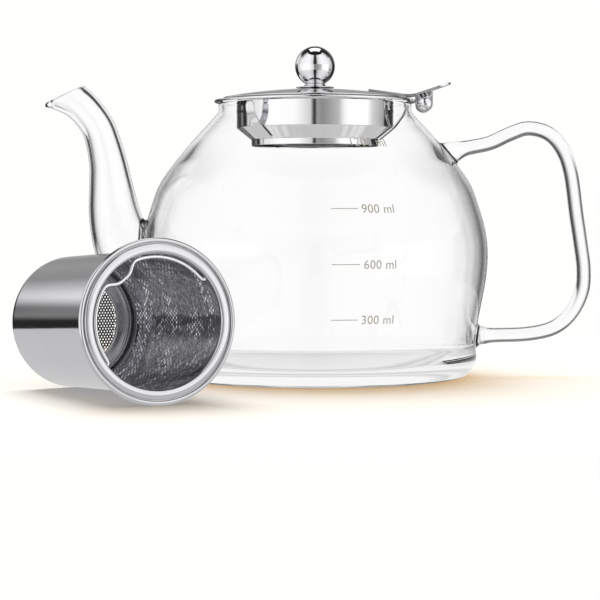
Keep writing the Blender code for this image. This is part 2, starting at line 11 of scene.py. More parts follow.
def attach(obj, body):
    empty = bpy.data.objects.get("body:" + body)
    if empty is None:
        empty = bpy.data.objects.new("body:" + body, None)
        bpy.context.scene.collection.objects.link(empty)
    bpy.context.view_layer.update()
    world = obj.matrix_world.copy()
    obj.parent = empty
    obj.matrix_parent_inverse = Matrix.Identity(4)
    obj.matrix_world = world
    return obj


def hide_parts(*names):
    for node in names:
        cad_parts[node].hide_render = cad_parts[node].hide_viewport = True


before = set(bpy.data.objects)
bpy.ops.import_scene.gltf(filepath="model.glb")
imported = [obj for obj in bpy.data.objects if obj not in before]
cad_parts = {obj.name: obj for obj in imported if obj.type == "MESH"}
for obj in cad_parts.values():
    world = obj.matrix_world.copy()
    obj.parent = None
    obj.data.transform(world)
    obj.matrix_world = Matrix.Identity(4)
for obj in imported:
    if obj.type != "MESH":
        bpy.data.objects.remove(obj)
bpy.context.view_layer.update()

MM = 0.001

# ---------------------------------------------------------------- sizes, in millimetres

# The body: points on its outside from the neck down, and on the curve of its inside at the foot, each as a
# radius and a height.
RIM_TOP = 112.8
NECK_RADIUS = 39.9
GLASS_WALL = 1.9
BODY_OUTSIDE = [
    (39.9, 109.6), (41.4, 107.4), (53.2, 94.3), (63.5, 80.6), (67.9, 69.5), (70.5, 59.8),
    (71.4, 51.0), (70.7, 40.5), (68.6, 29.0), (66.7, 19.0), (66.0, 13.6), (67.0, 8.8),
    (65.6, 3.7), (62.6, 0.9), (59.0, 0.0),
]
FLOOR_TOP = 4.8
INSIDE_FOOT = [(64.1, 13.0), (63.8, 10.2), (62.0, 6.6), (57.5, 5.0), (50.0, FLOOR_TOP)]
BASE_HOLLOW = 0.8
BASE_HOLLOW_RADIUS = 52.0

# The body's grid: columns round it, steps between its rows, and the height above which the rows are closer.
BODY_COLUMNS = 176
WALL_STEP = 1.8
NECK_STEP = 0.75
NECK_ROWS_FROM = 99.0

# The spout's middle line as X, Z and outside radius. Its weld is the fillet where it meets the body.
SPOUT_LINE = [
    (-63.5, 36.5, 14.9), (-70.1, 41.1, 14.3), (-75.5, 47.3, 13.5), (-79.3, 54.4, 12.4), (-81.8, 61.4, 11.4),
    (-83.4, 68.9, 10.4), (-84.1, 75.1, 9.6), (-84.8, 81.3, 8.7), (-85.6, 87.8, 7.9), (-87.6, 96.7, 7.2),
    (-90.4, 104.2, 6.9), (-97.0, 112.4, 6.9), (-104.5, 116.8, 7.2), (-114.0, 120.0, 7.6),
]
SPOUT_WALL = 1.7
SPOUT_TOP_CORNER = (-95.7, 119.8)
SPOUT_LIP = (-110.6, 112.8)
SPOUT_WELD = 3.0
SPOUT_INTO_BODY = 8.0
SPOUT_RINGS = 60
SPOUT_CROWDING = 1.25
SPOUT_ROOT_SHARE = 0.35
LIP_ANGLES = [25, 50, 75, 105, 130, 155]

# The handle's middle line as X and Z. Its rod flares within these distances of the line's two ends.
HANDLE_LINE = [
    (54.0, 91.8), (62.0, 94.3), (72.0, 96.4), (80.0, 100.0), (88.0, 102.6), (96.4, 100.6),
    (102.3, 94.3), (105.9, 84.2), (108.3, 67.2), (110.1, 55.5), (111.5, 44.5), (110.8, 34.8),
    (106.2, 25.8), (99.2, 20.0), (89.0, 17.5), (76.0, 16.9), (62.0, 16.6),
]
HANDLE_RADIUS = 3.0
HANDLE_FLARE = 1.6
HANDLE_FLARE_LENGTH = 4.5
HANDLE_FLARE_FROM = (12.0, 14.0)
HANDLE_WELD = 2.5
HANDLE_INTO_BODY = 10.0
HANDLE_RINGS = 120
HANDLE_CROWDING = 0.8
HANDLE_ROOT_SHARE = 0.08

# The openings in the body's grid: middle height, and half their rows and columns. Rings of points lie between
# an opening's edge and the tube's foot, at these shares of the way.
SPOUT_OPENING = (42.0, 15, 9)
HANDLE_TOP_OPENING = (91.8, 5, 4)
HANDLE_BOTTOM_OPENING = (17.4, 5, 4)
WALL_SHARES = (0.22, 0.44, 0.64, 0.82)

# A plain volume scale: each number stands level with its mark, and all but the one at the neck have a tick.
# The starts and the end are angles from -Y towards +X, and the share is the height of a capital in the font.
MARKS = [("1200 ml", 95.4), ("900 ml", 69.4), ("600 ml", 48.1), ("300 ml", 26.8)]
NUMBER_HEIGHT = 3.3
NUMBER_START = 14.8
NUMBER_SPACING = 1.04
CAPITAL_SHARE = 0.69
TICK_START = 4.8
TICK_END = 13.5
TICK_STEPS = 12
INK_LINE = 0.30
INK_LIFT = 0.05
INK_DEPTH = 0.04

# The lid unit: collar, clips, and the hinge's knuckle and rivet. A joint is the gap between welded pieces.
JOINT = 0.3
SHEET = 0.6
FLANGE_RADIUS = 41.6
FLANGE_TOP = 114.2
FLANGE_BOTTOM = 113.1
COLLAR_RADIUS = 32.4
CONE_TOP = 102.5
CONE_BOTTOM = 97.8
SEAT_RADIUS = 26.4
COLLAR_BOTTOM = 95.3

CLIP_ANGLES = {"spring_clip_left": -134, "spring_clip_right": -14, "spring_clip_back": 106}
CLIP_WIDTH = 4.2
CLIP_THICKNESS = 0.5
CLIP_REACH = 37.7
CLIP_KNEE = 107.3
CLIP_TIP = 112.2
CLIP_ON_CONE = 8.0
CLIP_BEND = 1.4

PIN_X = 45.1
PIN_Z = 112.6
PIN_HOLE = 1.25
SHANK_RADIUS = 1.1
BARREL_RADIUS = 1.9
BARREL_HALF_LENGTH = 3.6
TONGUE_RISE = 1.3
EAR_INSIDE = 4.0
EAR_THICKNESS = 0.8
EAR_RADIUS = 3.4
RIVET_RADIUS = 2.7
RIVET_HEIGHT = 1.3

# The lid, its lever as X and Z, and its knob.
LID_RADIUS = 38.0
LID_EDGE_BOTTOM = 114.6
LID_CREST = 118.7
LEVER_LINE = [(22.0, 118.15), (29.0, 117.2), (37.8, 115.95), (40.5, 116.1), (56.1, 121.2)]
LEVER_THICKNESS = 0.8
LEVER_HALF_WIDTH = 6.0
EAR_TOP = 116.2
EAR_TOP_RISE = 2.5

BALL_RADIUS = 8.25
BALL_HEIGHT = 128.2
KNOB_BORE = 2.2
KNOB_BORE_DEPTH = 8.0
FOOT_RADIUS = 7.9
FOOT_NECK = 4.2
FOOT_EDGE = 119.62
FOOT_ROLL = 0.2
FOOT_BOTTOM = 118.95
SCREW_RADIUS = 1.9
THREAD_ROOT = 1.62
THREAD_PITCH = 0.75
THREADS = 12
SCREW_HEAD = 1.8

# The infuser, lying on the table. The ribs are pressed into its base, as radius and rise.
INFUSER_RIM_RADIUS = 29.6
INFUSER_RADIUS = 25.4
INFUSER_SHEET = 0.5
INFUSER_LENGTH = 86.0
MOUTH_RADIUS = 24.1
RIM_SKIRT = 5.0
RIM_BEAD = 0.9
RIM_GROOVE = [(28.0, -1.2), (27.85, -1.5), (27.65, -1.5), (27.5, -1.0)]
RIM_CROWN = [(27.45, -0.42), (26.9, -0.12), (26.0, 0.0), (25.0, -0.06), (24.4, -0.36), (MOUTH_RADIUS, -0.95)]
BASE_EDGE = 4.0
BASE_RIBS = [(19.5, 0), (21.0, 0), (21.5, 0.35), (22.0, 0.55), (22.5, 0.35), (22.8, 0.1), (23.1, 0.35)]
INFUSER_X = -55.8
INFUSER_Y = -127.6
INFUSER_HEADING = 26.5
SIEVE_RADIUS = 17.6
SIEVE_PITCH = 1.2
SIEVE_HOLE = 0.39

# Slits in the cup's inside: pitch along it, count round it, half sizes as shares of a cell, and the rows
# between which they fade in and out.
SLIT_PITCH = 1.5
SLITS_AROUND = 90
SLIT_HALF = (0.34, 0.26)
FIRST_SLIT_ROWS = (4.0, 6.0)
LAST_SLIT_ROWS = (57.0, 55.0)

BAIL_WIRE = 0.7
BAIL_RADIUS = 22.9
BAIL_DEPTH = 2.2
BAIL_PIVOT_ANGLE = 38.0
BAIL_DENT = 3.7
BAIL_DENT_HALF_ANGLE = 14.0

# ---------------------------------------------------------------- glass, steel and ink

# The glass bends light less towards the neck, where it is thin, from the first height to the second, and only
# within a radius that leaves out spout and handle. It hardly bends light at its foot, on the table.
BODY_IOR = 1.473
NECK_IOR = 1.1
FOOT_IOR = 1.02
THIN_GLASS = (80.0, 98.0)
THIN_GLASS_REACH = (63.0, 57.0)
FOOT_HEIGHTS = (1.4, 0.9)
GLASS_SHADOW = (0.885, 0.805, 0.70, 1.0)

# Each steel: colour, roughness, strength of its scratches, and how these are stretched along X, Y and Z.
STEELS = {
    "mirror_steel": ((0.80, 0.80, 0.815), 0.055, 0.06, (1.0, 1.0, 1.0)),
    # The base's ring steel and its sieve plate steel are darkened with painted shade, which stands in for the
    # shade inside the cup.
    "ring_steel_painted_shade": ((0.36, 0.36, 0.375), 0.12, 0.10, (1.0, 1.0, 1.0)),
    "base_steel_painted_shade": ((0.10, 0.10, 0.105), 0.13, 0.12, (1.0, 1.0, 1.0)),
    "drawn_wire": ((0.85, 0.85, 0.86), 0.07, 0.05, (1.0, 1.0, 1.0)),
    "cup_steel": ((0.72, 0.72, 0.745), 0.10, 0.08, (1.0, 1.0, 0.02)),
    "rim_steel": ((0.68, 0.68, 0.695), 0.09, 0.06, (1.0, 1.0, 1.0)),
}
SIEVE_COLOUR = (0.66, 0.66, 0.69, 1)
# Painted light: the glow of light through the cup's slits.
PAINTED_SLIT_LIGHT = (0.9, 0.92, 1.0, 1)

# ---------------------------------------------------------------- light, floor and camera


def both_sides(stops):
    """Light by heading on one side, from 0 to 180 degrees, and the same on the other side."""
    return [(-heading, level) for heading, level in reversed(stops)] + stops


# Levels of light by heading in degrees: 0 is behind the pot, 90 is to the right and 180 is behind the camera.
# What glass lets through is a narrow white sweep between dark flags, so its edges are dark.
SWEEP = both_sides(
    [
        (9, 0.99), (14, 0.92), (20, 0.68), (28, 0.22), (36, 0.03), (58, 0.02), (64, 0.9), (84, 1.0),
        (112, 1.1), (150, 1.1), (171, 0.8), (176, 0.15), (180, 0.1),
    ]
)
SWEEP_HIGH = both_sides([(8, 0.16), (24, 0.04), (62, 0.05), (80, 0.9), (180, 0.9)])
SWEEP_BELOW = 0.97

# What steel mirrors: the soft boxes to the left and right, with what stands between them low down and at eye
# level, and then the same higher up.
LEFT_BOX = [
    (-180, 0.05), (-177.5, 0.06), (-173, 0.8), (-150, 1.25), (-112, 1.3), (-84, 1.0), (-64, 0.75),
    (-60, 0.02),
]
RIGHT_BOX = [
    (58, 0.02), (62, 0.45), (88, 0.8), (100, 1.35), (130, 1.3), (138, 1.1), (146, 0.6), (160, 0.42),
    (170, 0.32), (176, 0.40), (178.3, 0.40), (179, 0.08), (180, 0.05),
]
MIRROR_LOW = [*LEFT_BOX, (-27, 0.03), (-12, 0.15), (12, 0.15), (27, 0.03), *RIGHT_BOX]
MIRROR_MID = [
    *LEFT_BOX, (-51, 0.03), (-48, 0.26), (-44, 0.26), (-41, 0.05), (-27, 0.04), (-10, 0.42), (10, 0.45),
    (27, 0.03), *RIGHT_BOX,
]
LEFT_BOX_TOP = [(-180, 0.02), (-173, 0.04), (-165, 0.9), (-140, 1.2), (-100, 1.1)]
RIGHT_BOX_TOP = [(100, 1.1), (140, 1.2), (165, 0.8), (173, 0.04), (180, 0.02)]
MIRROR_HIGH = [
    *LEFT_BOX_TOP, (-74, 0.8), (-62, 0.6), (-50, 1.0), (-42, 1.05), (-36, 0.62), (-30, 0.32), (-19, 0.37),
    (-10, 0.30), (10, 0.42), (30, 0.2), (42, 0.08), (62, 0.08), (74, 0.8), *RIGHT_BOX_TOP,
]
MIRROR_TOP = [*LEFT_BOX_TOP, (-80, 0.5), (-66, 0.03), (66, 0.03), (80, 0.5), *RIGHT_BOX_TOP]
FLOOR_IN_MIRROR = 0.68

# Light by rise above the horizon in degrees, from straight down to straight up: the rises between which each
# layer takes over from the one below it, and its light.
GLASS_LAYERS = [
    (-72, -58, 0.05),
    (-48, -36, SWEEP_BELOW),
    (-13, -7, SWEEP),
    (17, 28, SWEEP_HIGH),
    (60, 72, 0.3),
]
MIRROR_LAYERS = [
    (-44, -34, MIRROR_LOW),
    (-2.0, 1.5, MIRROR_MID),
    (4.5, 12, MIRROR_HIGH),
    (30, 36, MIRROR_TOP),
    (60, 65, 0.015),
]

# A bright panel overhead, behind the pot, that only steel mirrors: its edges by rise and by the direction's Y
# and X, and its level.
PANEL_RISE = (50, 57)
PANEL_BACK = (0.03, 0.11)
PANEL_SIDE = (0.30, 0.26)
PANEL_LEVEL = 1.8

FILL_LIGHT = (0.62, 0.535, 0.42, 1)
BACKDROP = (1.0, 1.0, 0.985, 1)

# The floor, with painted shade rings under the pot's foot on a painted glowing floor that only glass and
# mirrors see. Their stops are parts of 100 mm from the middle, and the radii are where the floor under the
# pot ends, in metres.
FLOOR_REACH = 275
FLOOR_DROP = 0.15
FOOT_RADII = (0.066, 0.074)
# Painted shade: grey rings where the pot's foot would shade the table.
FOOT_SHADE_RINGS = [(0.50, 0.93), (0.535, 0.62), (0.55, 0.88), (0.585, 0.62), (0.61, 0.9)]
PAINTED_FLOOR_UNDER_GLASS = [(0.48, 0.93), *FOOT_SHADE_RINGS]
PAINTED_FLOOR_IN_MIRRORS = [(0.40, FLOOR_IN_MIRROR), (0.45, 0.9), *FOOT_SHADE_RINGS, (0.85, 0.95), (0.99, FLOOR_IN_MIRROR)]

SUN_POWER = 2.4
SUN_SPREAD = 50
SUN_TURN = (-24, -8, 0)
SUN_COLOUR = (0.90, 0.95, 1.0)

CAMERA_PLACE = (-6.2, -824.0, 68.5)
CAMERA_TARGET = (-6.2, 0.0, 31.5)
CAMERA_LENS = 119.1
LIGHT_BOUNCES = 28

# ---------------------------------------------------------------- node helpers


class Nodes:
    """A short way to write a node tree."""

    def __init__(self, tree):
        self.tree = tree
        tree.nodes.clear()

    def add(self, kind, values=None, **settings):
        node = self.tree.nodes.new("ShaderNode" + kind)
        for key, value in settings.items():
            setattr(node, key, value)
        for key, value in (values or {}).items():
            if isinstance(value, bpy.types.NodeSocket):
                self.tree.links.new(value, node.inputs[key])
            else:
                node.inputs[key].default_value = value
        return node

    def math(self, operation, first, second=0.0):
        return self.add("Math", {0: first, 1: second}, operation=operation).outputs[0]

    def plus(self, first, second):
        return self.math("ADD", first, second)

    def minus(self, first, second):
        return self.math("SUBTRACT", first, second)

    def times(self, first, second):
        return self.math("MULTIPLY", first, second)

    def step(self, value, start, end):
        """Rises smoothly from 0 at the start to 1 at the end, or falls where the end is the smaller."""
        return self.add("MapRange", {0: value, 1: start, 2: end}, interpolation_type="SMOOTHSTEP").outputs[0]

    def blend(self, factor, first, second):
        return self.add("Mix", {0: factor, 6: first, 7: second}, data_type="RGBA").outputs[2]

    def blend_shaders(self, factor, first, second):
        return self.add("MixShader", {0: factor, 1: first.outputs[0], 2: second.outputs[0]})

    def noise(self, place, scale, detail, distortion=0.0):
        values = {"Vector": place, "Scale": scale, "Detail": detail, "Distortion": distortion}
        return self.add("TexNoise", values).outputs[0]

    def bump(self, height, strength, distance):
        return self.add("Bump", {"Strength": strength, "Distance": distance, "Height": height}).outputs[0]

    def place(self):
        return self.add("TexCoord").outputs["Object"]

    def parts(self, vector):
        return self.add("SeparateXYZ", {0: vector}).outputs

    def reach(self, x, y):
        """Distance from the Z axis."""
        return self.math("SQRT", self.plus(self.math("POWER", x, 2.0), self.math("POWER", y, 2.0)))

    def ramp(self, factor, stops):
        node = self.add("ValToRGB", {0: factor})
        elements = node.color_ramp.elements
        while len(elements) > 1:
            elements.remove(elements[-1])
        elements[0].position = stops[0][0]
        elements[0].color = tint(stops[0][1])
        for position, value in stops[1:]:
            elements.new(position).color = tint(value)
        return node.outputs[0]


def tint(value):
    """A colour from three numbers, or a grey from one."""
    return (*value, 1.0) if isinstance(value, tuple) else (value, value, value, 1.0)


def new_material(name):
    made = bpy.data.materials.new(name)
    made.use_nodes = True
    return made, Nodes(made.node_tree)


def steel(name, colour, rough, scratches, grain):
    """Polished steel: fine directional scratches and faint smears change its roughness and its surface."""
    made, nodes = new_material(name)
    spot = nodes.place()
    stretched = nodes.add("Mapping", {"Vector": spot, "Scale": grain}).outputs[0]
    fine = nodes.noise(stretched, 900.0, 3.0)
    smear = nodes.noise(spot, 45.0, 4.0)
    share = 0.5 * rough
    values = {
        "Base Color": nodes.ramp(smear, [(0.3, tuple(0.97 * c for c in colour)), (0.7, colour)]),
        "Metallic": 1.0,
        "Roughness": nodes.plus(nodes.plus(nodes.times(smear, share), nodes.times(fine, share)), share),
        "Normal": nodes.bump(fine, scratches, 0.00005),
    }
    nodes.add("OutputMaterial", {"Surface": nodes.add("BsdfPrincipled", values).outputs[0]})
    return made


def clear_glass():
    """Clear glass with faint waves from blowing. Lamps and bounced light pass straight through it, warmer."""
    made, nodes = new_material("clear_glass")
    spot = nodes.place()
    x, y, z = nodes.parts(spot)
    body = nodes.step(nodes.reach(x, y), *(reach * MM for reach in THIN_GLASS_REACH))
    thin = nodes.times(body, nodes.step(z, *(height * MM for height in THIN_GLASS)))
    resting = nodes.step(z, *(height * MM for height in FOOT_HEIGHTS))
    bend = nodes.minus(BODY_IOR, nodes.times(thin, BODY_IOR - NECK_IOR))
    bend = nodes.minus(bend, nodes.times(resting, BODY_IOR - FOOT_IOR))
    waves = nodes.noise(spot, 16.0, 1.0)
    values = {
        "Base Color": (0.998, 0.998, 0.996, 1.0),
        "Roughness": nodes.times(waves, 0.004),
        "IOR": bend,
        "Normal": nodes.bump(waves, 0.10, 0.0004),
        "Transmission Weight": 1.0,
        "Specular Tint": (0.55, 0.55, 0.55, 1.0),
    }
    glass = nodes.add("BsdfPrincipled", values)
    glass.inputs["IOR"].default_value = BODY_IOR
    shadow = nodes.add("BsdfTransparent", {"Color": GLASS_SHADOW})
    path = nodes.add("LightPath").outputs
    through = nodes.math("MAXIMUM", path["Is Shadow Ray"], path["Is Diffuse Ray"])
    nodes.add("OutputMaterial", {"Surface": nodes.blend_shaders(through, glass, shadow).outputs[0]})
    return made


def print_ink():
    made, nodes = new_material("scale_ink")
    grain = nodes.noise(nodes.place(), 1500.0, 2.0)
    shade = nodes.ramp(grain, [(0.3, (0.46, 0.46, 0.47)), (0.7, (0.56, 0.56, 0.57))])
    shader = nodes.add("BsdfPrincipled", {"Base Color": shade, "Roughness": 0.6})
    nodes.add("OutputMaterial", {"Surface": shader.outputs[0]})
    return made


def slit_pattern(nodes, x, y, z):
    """Rows of slits: squared distance from the nearest one, a chance for each, and where the rows are."""
    turn = nodes.plus(nodes.math("DIVIDE", nodes.math("ARCTAN2", y, x), 2 * math.pi), 0.5)
    along = nodes.math("DIVIDE", z, -SLIT_PITCH * MM)
    row = nodes.math("FLOOR", along)
    odd = nodes.times(nodes.math("MODULO", row, 2.0), 0.5)
    around = nodes.plus(nodes.times(turn, SLITS_AROUND), odd)
    squares = []
    for value, half in zip((around, along), SLIT_HALF):
        share = nodes.math("DIVIDE", nodes.minus(nodes.math("FRACT", value), 0.5), half)
        squares.append(nodes.math("POWER", nodes.math("ABSOLUTE", share), 2.0))
    cell = nodes.add("CombineXYZ", {0: nodes.math("FLOOR", around), 1: row}).outputs[0]
    chance = nodes.add("TexWhiteNoise", {"Vector": cell}, noise_dimensions="2D").outputs["Value"]
    in_rows = nodes.times(nodes.step(along, *FIRST_SLIT_ROWS), nodes.step(along, *LAST_SLIT_ROWS))
    return nodes.plus(*squares), chance, in_rows


def slit_steel_with_painted_light():
    """The inside of the cup: satin steel with rows of short slits. Each slit has a painted glint, dark or
    bright by its chance, and a painted glow of light through it that is stronger in painted patches.
    """
    made, nodes = new_material("slit_steel_with_painted_light")
    place = nodes.place()
    ellipse, chance, in_rows = slit_pattern(nodes, *nodes.parts(place))
    sheet = nodes.math("MINIMUM", nodes.math("MAXIMUM", nodes.minus(ellipse, 0.6), 0.0), 0.6)
    pit = nodes.times(nodes.step(ellipse, 1.15, 0.75), in_rows)
    # Painted glint: each slit is dark or bright by its chance.
    painted_glint_tone = nodes.ramp(chance, [(0.0, 0.02), (0.3, 0.10), (0.5, 0.6), (1.0, 1.0)])
    smear = nodes.noise(place, 60.0, 4.0)
    cloud = nodes.noise(place, 38.0, 2.0, distortion=1.5)
    # Painted light patches, where the slits glow more strongly.
    painted_light_patch = nodes.plus(nodes.times(nodes.step(cloud, 0.44, 0.62), 0.8), 0.08)
    values = {
        "Base Color": nodes.blend(nodes.times(pit, 0.7), SIEVE_COLOUR, painted_glint_tone),
        "Metallic": 1.0,
        "Roughness": nodes.plus(nodes.times(smear, 0.10), 0.07),
        "Normal": nodes.bump(nodes.times(sheet, in_rows), 0.5, 0.00012),
        # Painted light: the slits glow as if light came through them, though nothing lights them.
        "Emission Color": PAINTED_SLIT_LIGHT,
        "Emission Strength": nodes.times(nodes.times(pit, nodes.math("POWER", chance, 1.5)), painted_light_patch),
    }
    nodes.add("OutputMaterial", {"Surface": nodes.add("BsdfPrincipled", values).outputs[0]})
    return made


# ---------------------------------------------------------------- shape helpers


def curve_through(points, per_span):
    """A Catmull-Rom curve through the points."""
    points = np.array(points, float)
    ends = np.vstack([2 * points[0] - points[1], points, 2 * points[-1] - points[-2]])
    steps = np.arange(per_span)[:, None] / per_span
    spans = []
    for before, start, end, after in zip(ends, ends[1:], ends[2:], ends[3:]):
        linear = (end - before) * steps
        square = (2 * before - 5 * start + 4 * end - after) * steps**2
        cube = (3 * start - before - 3 * end + after) * steps**3
        spans.append(start + (linear + square + cube) / 2)
    return np.vstack([*spans, points[-1:]])


def lengths(line):
    return np.concatenate([[0], np.cumsum(np.linalg.norm(np.diff(line, axis=0), axis=1))])


def values_at(run, values, at):
    """Rows of values, given at distances along a line, read off at other distances."""
    return np.column_stack([np.interp(at, run, column) for column in values.T])


def resample(line, step):
    """Evenly spaced points along the line, its ends kept."""
    line = np.array(line, float)
    run = lengths(line)
    count = max(2, int(round(run[-1] / step)) + 1)
    return values_at(run, line, np.linspace(0, run[-1], count))


def directions(line, run=None):
    """Unit vectors along the line at each of its points."""
    along = np.gradient(line, axis=0) if run is None else np.gradient(line, run, axis=0)
    return along / np.linalg.norm(along, axis=1)[:, None]


def corner_curve(start, corner, end, steps):
    shares = [step / steps for step in range(steps + 1)]
    return [(1 - t) ** 2 * start + 2 * t * (1 - t) * corner + t * t * end for t in shares]


def rounded(corners, steps=4):
    """A closed line whose corners, given as (x, y, radius), are rounded."""
    line = []
    count = len(corners)
    for index, (x, y, radius) in enumerate(corners):
        here = np.array((x, y), float)
        before = np.array(corners[index - 1][:2], float) - here
        after = np.array(corners[(index + 1) % count][:2], float) - here
        before_length, after_length = np.linalg.norm(before), np.linalg.norm(after)
        before, after = before / before_length, after / after_length
        half = math.acos(max(-1.0, min(1.0, float(before @ after)))) / 2
        reach = min(radius / math.tan(half), 0.49 * before_length, 0.49 * after_length)
        line += corner_curve(here + before * reach, here, here + after * reach, steps)
    return np.array(line)


def bent(corners, radius, steps=6):
    """An open line with its inner corners rounded."""
    corners = [np.array(corner, float) for corner in corners]
    line = [corners[0]]
    for before, here, after in zip(corners, corners[1:], corners[2:]):
        back, ahead = before - here, after - here
        back_length, ahead_length = np.linalg.norm(back), np.linalg.norm(ahead)
        reach = min(radius, 0.45 * back_length, 0.45 * ahead_length)
        start, end = here + back / back_length * reach, here + ahead / ahead_length * reach
        line += corner_curve(start, here, end, steps)
    return np.array([*line, corners[-1]])


def held(profile, reach=0.25):
    """The closed profile with a point near each end of every long straight, which keeps its shading flat."""
    line = []
    for here, after in zip(profile, [*profile[1:], profile[0]]):
        here, after = np.array(here, float), np.array(after, float)
        line.append(here)
        far = np.linalg.norm(after - here)
        if far > 5 * reach:
            step = (after - here) / far * reach
            line += [here + step, after - step]
    return line


def circle_arc(centre, radius, start, end, steps):
    angles = np.radians(np.linspace(start, end, steps + 1))
    return np.column_stack([centre[0] + radius * np.cos(angles), centre[1] + radius * np.sin(angles)])


def make_piece(name, points, faces, finish, matrix=None):
    """A closed smooth mesh from points in millimetres."""
    mesh = bpy.data.meshes.new(name)
    mesh.from_pydata([tuple(p) for p in np.array(points, float) * MM], [], [tuple(f) for f in faces])
    shape = bmesh.new()
    shape.from_mesh(mesh)
    bmesh.ops.recalc_face_normals(shape, faces=shape.faces)
    shape.to_mesh(mesh)
    shape.free()
    mesh.shade_smooth()
    mesh.materials.append(finish)
    item = bpy.data.objects.new(name, mesh)
    bpy.context.scene.collection.objects.link(item)
    if matrix is not None:
        item.matrix_world = matrix
    return item


def circle(radius, height, steps):
    """Points round the Z axis, or one point on it."""
    if radius < 1e-6:
        return [(0, 0, height)]
    angles = np.arange(steps) * 2 * math.pi / steps
    return [(radius * math.cos(a), radius * math.sin(a), height) for a in angles]


def lathe(profile, steps, closed=True):
    """Points and faces of a solid of revolution about Z. A profile point on the axis becomes a pole."""
    points, rings, faces = [], [], []
    for radius, height in profile:
        ring = circle(radius, height, steps)
        rings.append(list(range(len(points), len(points) + len(ring))))
        points += ring
    pairs = list(zip(rings, rings[1:])) + ([(rings[-1], rings[0])] if closed else [])
    for first, second in pairs:
        faces += ring_faces(first, second)
    return points, faces


def ring_faces(first, second):
    """Faces between two rings of points. A ring of one point is a pole."""
    if len(first) == 1 and len(second) == 1:
        return []
    count = max(len(first), len(second))
    faces = []
    for index in range(count):
        after = (index + 1) % count
        if len(first) == 1:
            faces.append((first[0], second[after], second[index]))
        elif len(second) == 1:
            faces.append((first[index], first[after], second[0]))
        else:
            faces.append((first[index], first[after], second[after], second[index]))
    return faces


def turned(name, profile, finish, steps=128, closed=True, matrix=None, even=False):
    points, faces = lathe(profile, steps, closed)
    item = make_piece(name, points, faces, finish, matrix)
    if even:
        even_shading(item)
    return item


def even_shading(item):
    normals = item.modifiers.new("Even shading", "WEIGHTED_NORMAL")
    normals.weight = 60


def swept(name, path, radius, sides, finish, matrix):
    """A round wire along a path in the XY plane, with domed ends."""
    along = directions(path)
    side = np.column_stack([-along[:, 1], along[:, 0], np.zeros(len(path))])
    up = np.array([0, 0, 1.0])
    stations = [(0, 0.35, -0.94), (0, 0.8, -0.6)]
    stations += [(index, 1.0, 0.0) for index in range(len(path))]
    stations += [(len(path) - 1, 0.8, 0.6), (len(path) - 1, 0.35, 0.94)]
    angles = np.arange(sides) * 2 * math.pi / sides
    points, rings = [], []
    for index, share, push in stations:
        centre = path[index] + along[index] * push * radius
        rings.append(list(range(len(points), len(points) + sides)))
        for angle in angles:
            points.append(centre + radius * share * (side[index] * math.cos(angle) + up * math.sin(angle)))
    faces = []
    for first, second in zip(rings, rings[1:]):
        faces += ring_faces(first, second)
    for ring, station, sign in ((rings[0], 0, -1), (rings[-1], -1, 1)):
        points.append(path[station] + along[station] * sign * radius)
        faces += ring_faces(ring, [len(points) - 1])
    return make_piece(name, points, faces, finish, matrix)


def soften(item, width, segments=2):
    edge = item.modifiers.new("Softened edges", "BEVEL")
    edge.width = width * MM
    edge.segments = segments
    edge.limit_method = "ANGLE"
    edge.angle_limit = math.radians(35)
    normals = item.modifiers.new("Even shading", "WEIGHTED_NORMAL")
    normals.keep_sharp = True


def union(item, helper):
    """Fuses the helper into the item and removes the helper."""
    fuse = item.modifiers.new("Weld", "BOOLEAN")
    fuse.operation = "UNION"
    fuse.object = helper
    bake(item)
    bpy.data.objects.remove(helper)


def bake(item):
    graph = bpy.context.evaluated_depsgraph_get()
    mesh = bpy.data.meshes.new_from_object(item.evaluated_get(graph))
    item.modifiers.clear()
    item.data = mesh


# ---------------------------------------------------------------- the glass, one fused piece


class Shell:
    """Points and faces gathered ring by ring."""

    def __init__(self):
        self.points = []
        self.faces = []

    def ring(self, points):
        start = len(self.points)
        self.points += [np.array(p, float) for p in points]
        return list(range(start, len(self.points)))

    def chain(self, rings):
        for first, second in zip(rings, rings[1:]):
            self.faces += ring_faces(first, second)


def body_lines():
    """Rows of the body's outside from the neck down, and of its inside, which is parallel above the foot."""
    start = (NECK_RADIUS, RIM_TOP - GLASS_WALL / 2)
    outside = curve_through([start, *BODY_OUTSIDE], 24)
    run = lengths(outside)
    along = directions(outside, run)
    inward = np.column_stack([along[:, 1], -along[:, 0]])
    at = [0.0]
    while at[-1] < run[-1]:
        height = np.interp(at[-1], run, outside[:, 1])
        at.append(at[-1] + (NECK_STEP if height > NECK_ROWS_FROM else WALL_STEP))
    at = np.array(at) * run[-1] / at[-1]
    outer, normal = values_at(run, outside, at), values_at(run, inward, at)
    inner = outer + normal / np.linalg.norm(normal, axis=1)[:, None] * GLASS_WALL
    inner = inner[inner[:, 1] > INSIDE_FOOT[0][1] + 3.0]
    foot = resample(curve_through([inner[-1], *INSIDE_FOOT], 8), WALL_STEP)
    return outer, np.vstack([inner, foot[1:]])


class Wall:
    """One side of the body's wall, as radius against height, with the tube that leaves it."""

    def __init__(self, line):
        order = np.argsort(line[:, 1])
        self.heights = line[order, 1]
        self.radii = line[order, 0]
        slope = np.gradient(self.radii, self.heights + np.arange(len(order)) * 1e-9)
        self.lean = 1 / np.sqrt(1 + np.clip(slope, -20, 20) ** 2)

    def radius(self, height):
        return np.interp(height, self.heights, self.radii)

    def distance(self, points):
        lean = np.interp(points[:, 2], self.heights, self.lean)
        return (np.hypot(points[:, 0], points[:, 1]) - self.radius(points[:, 2])) * lean


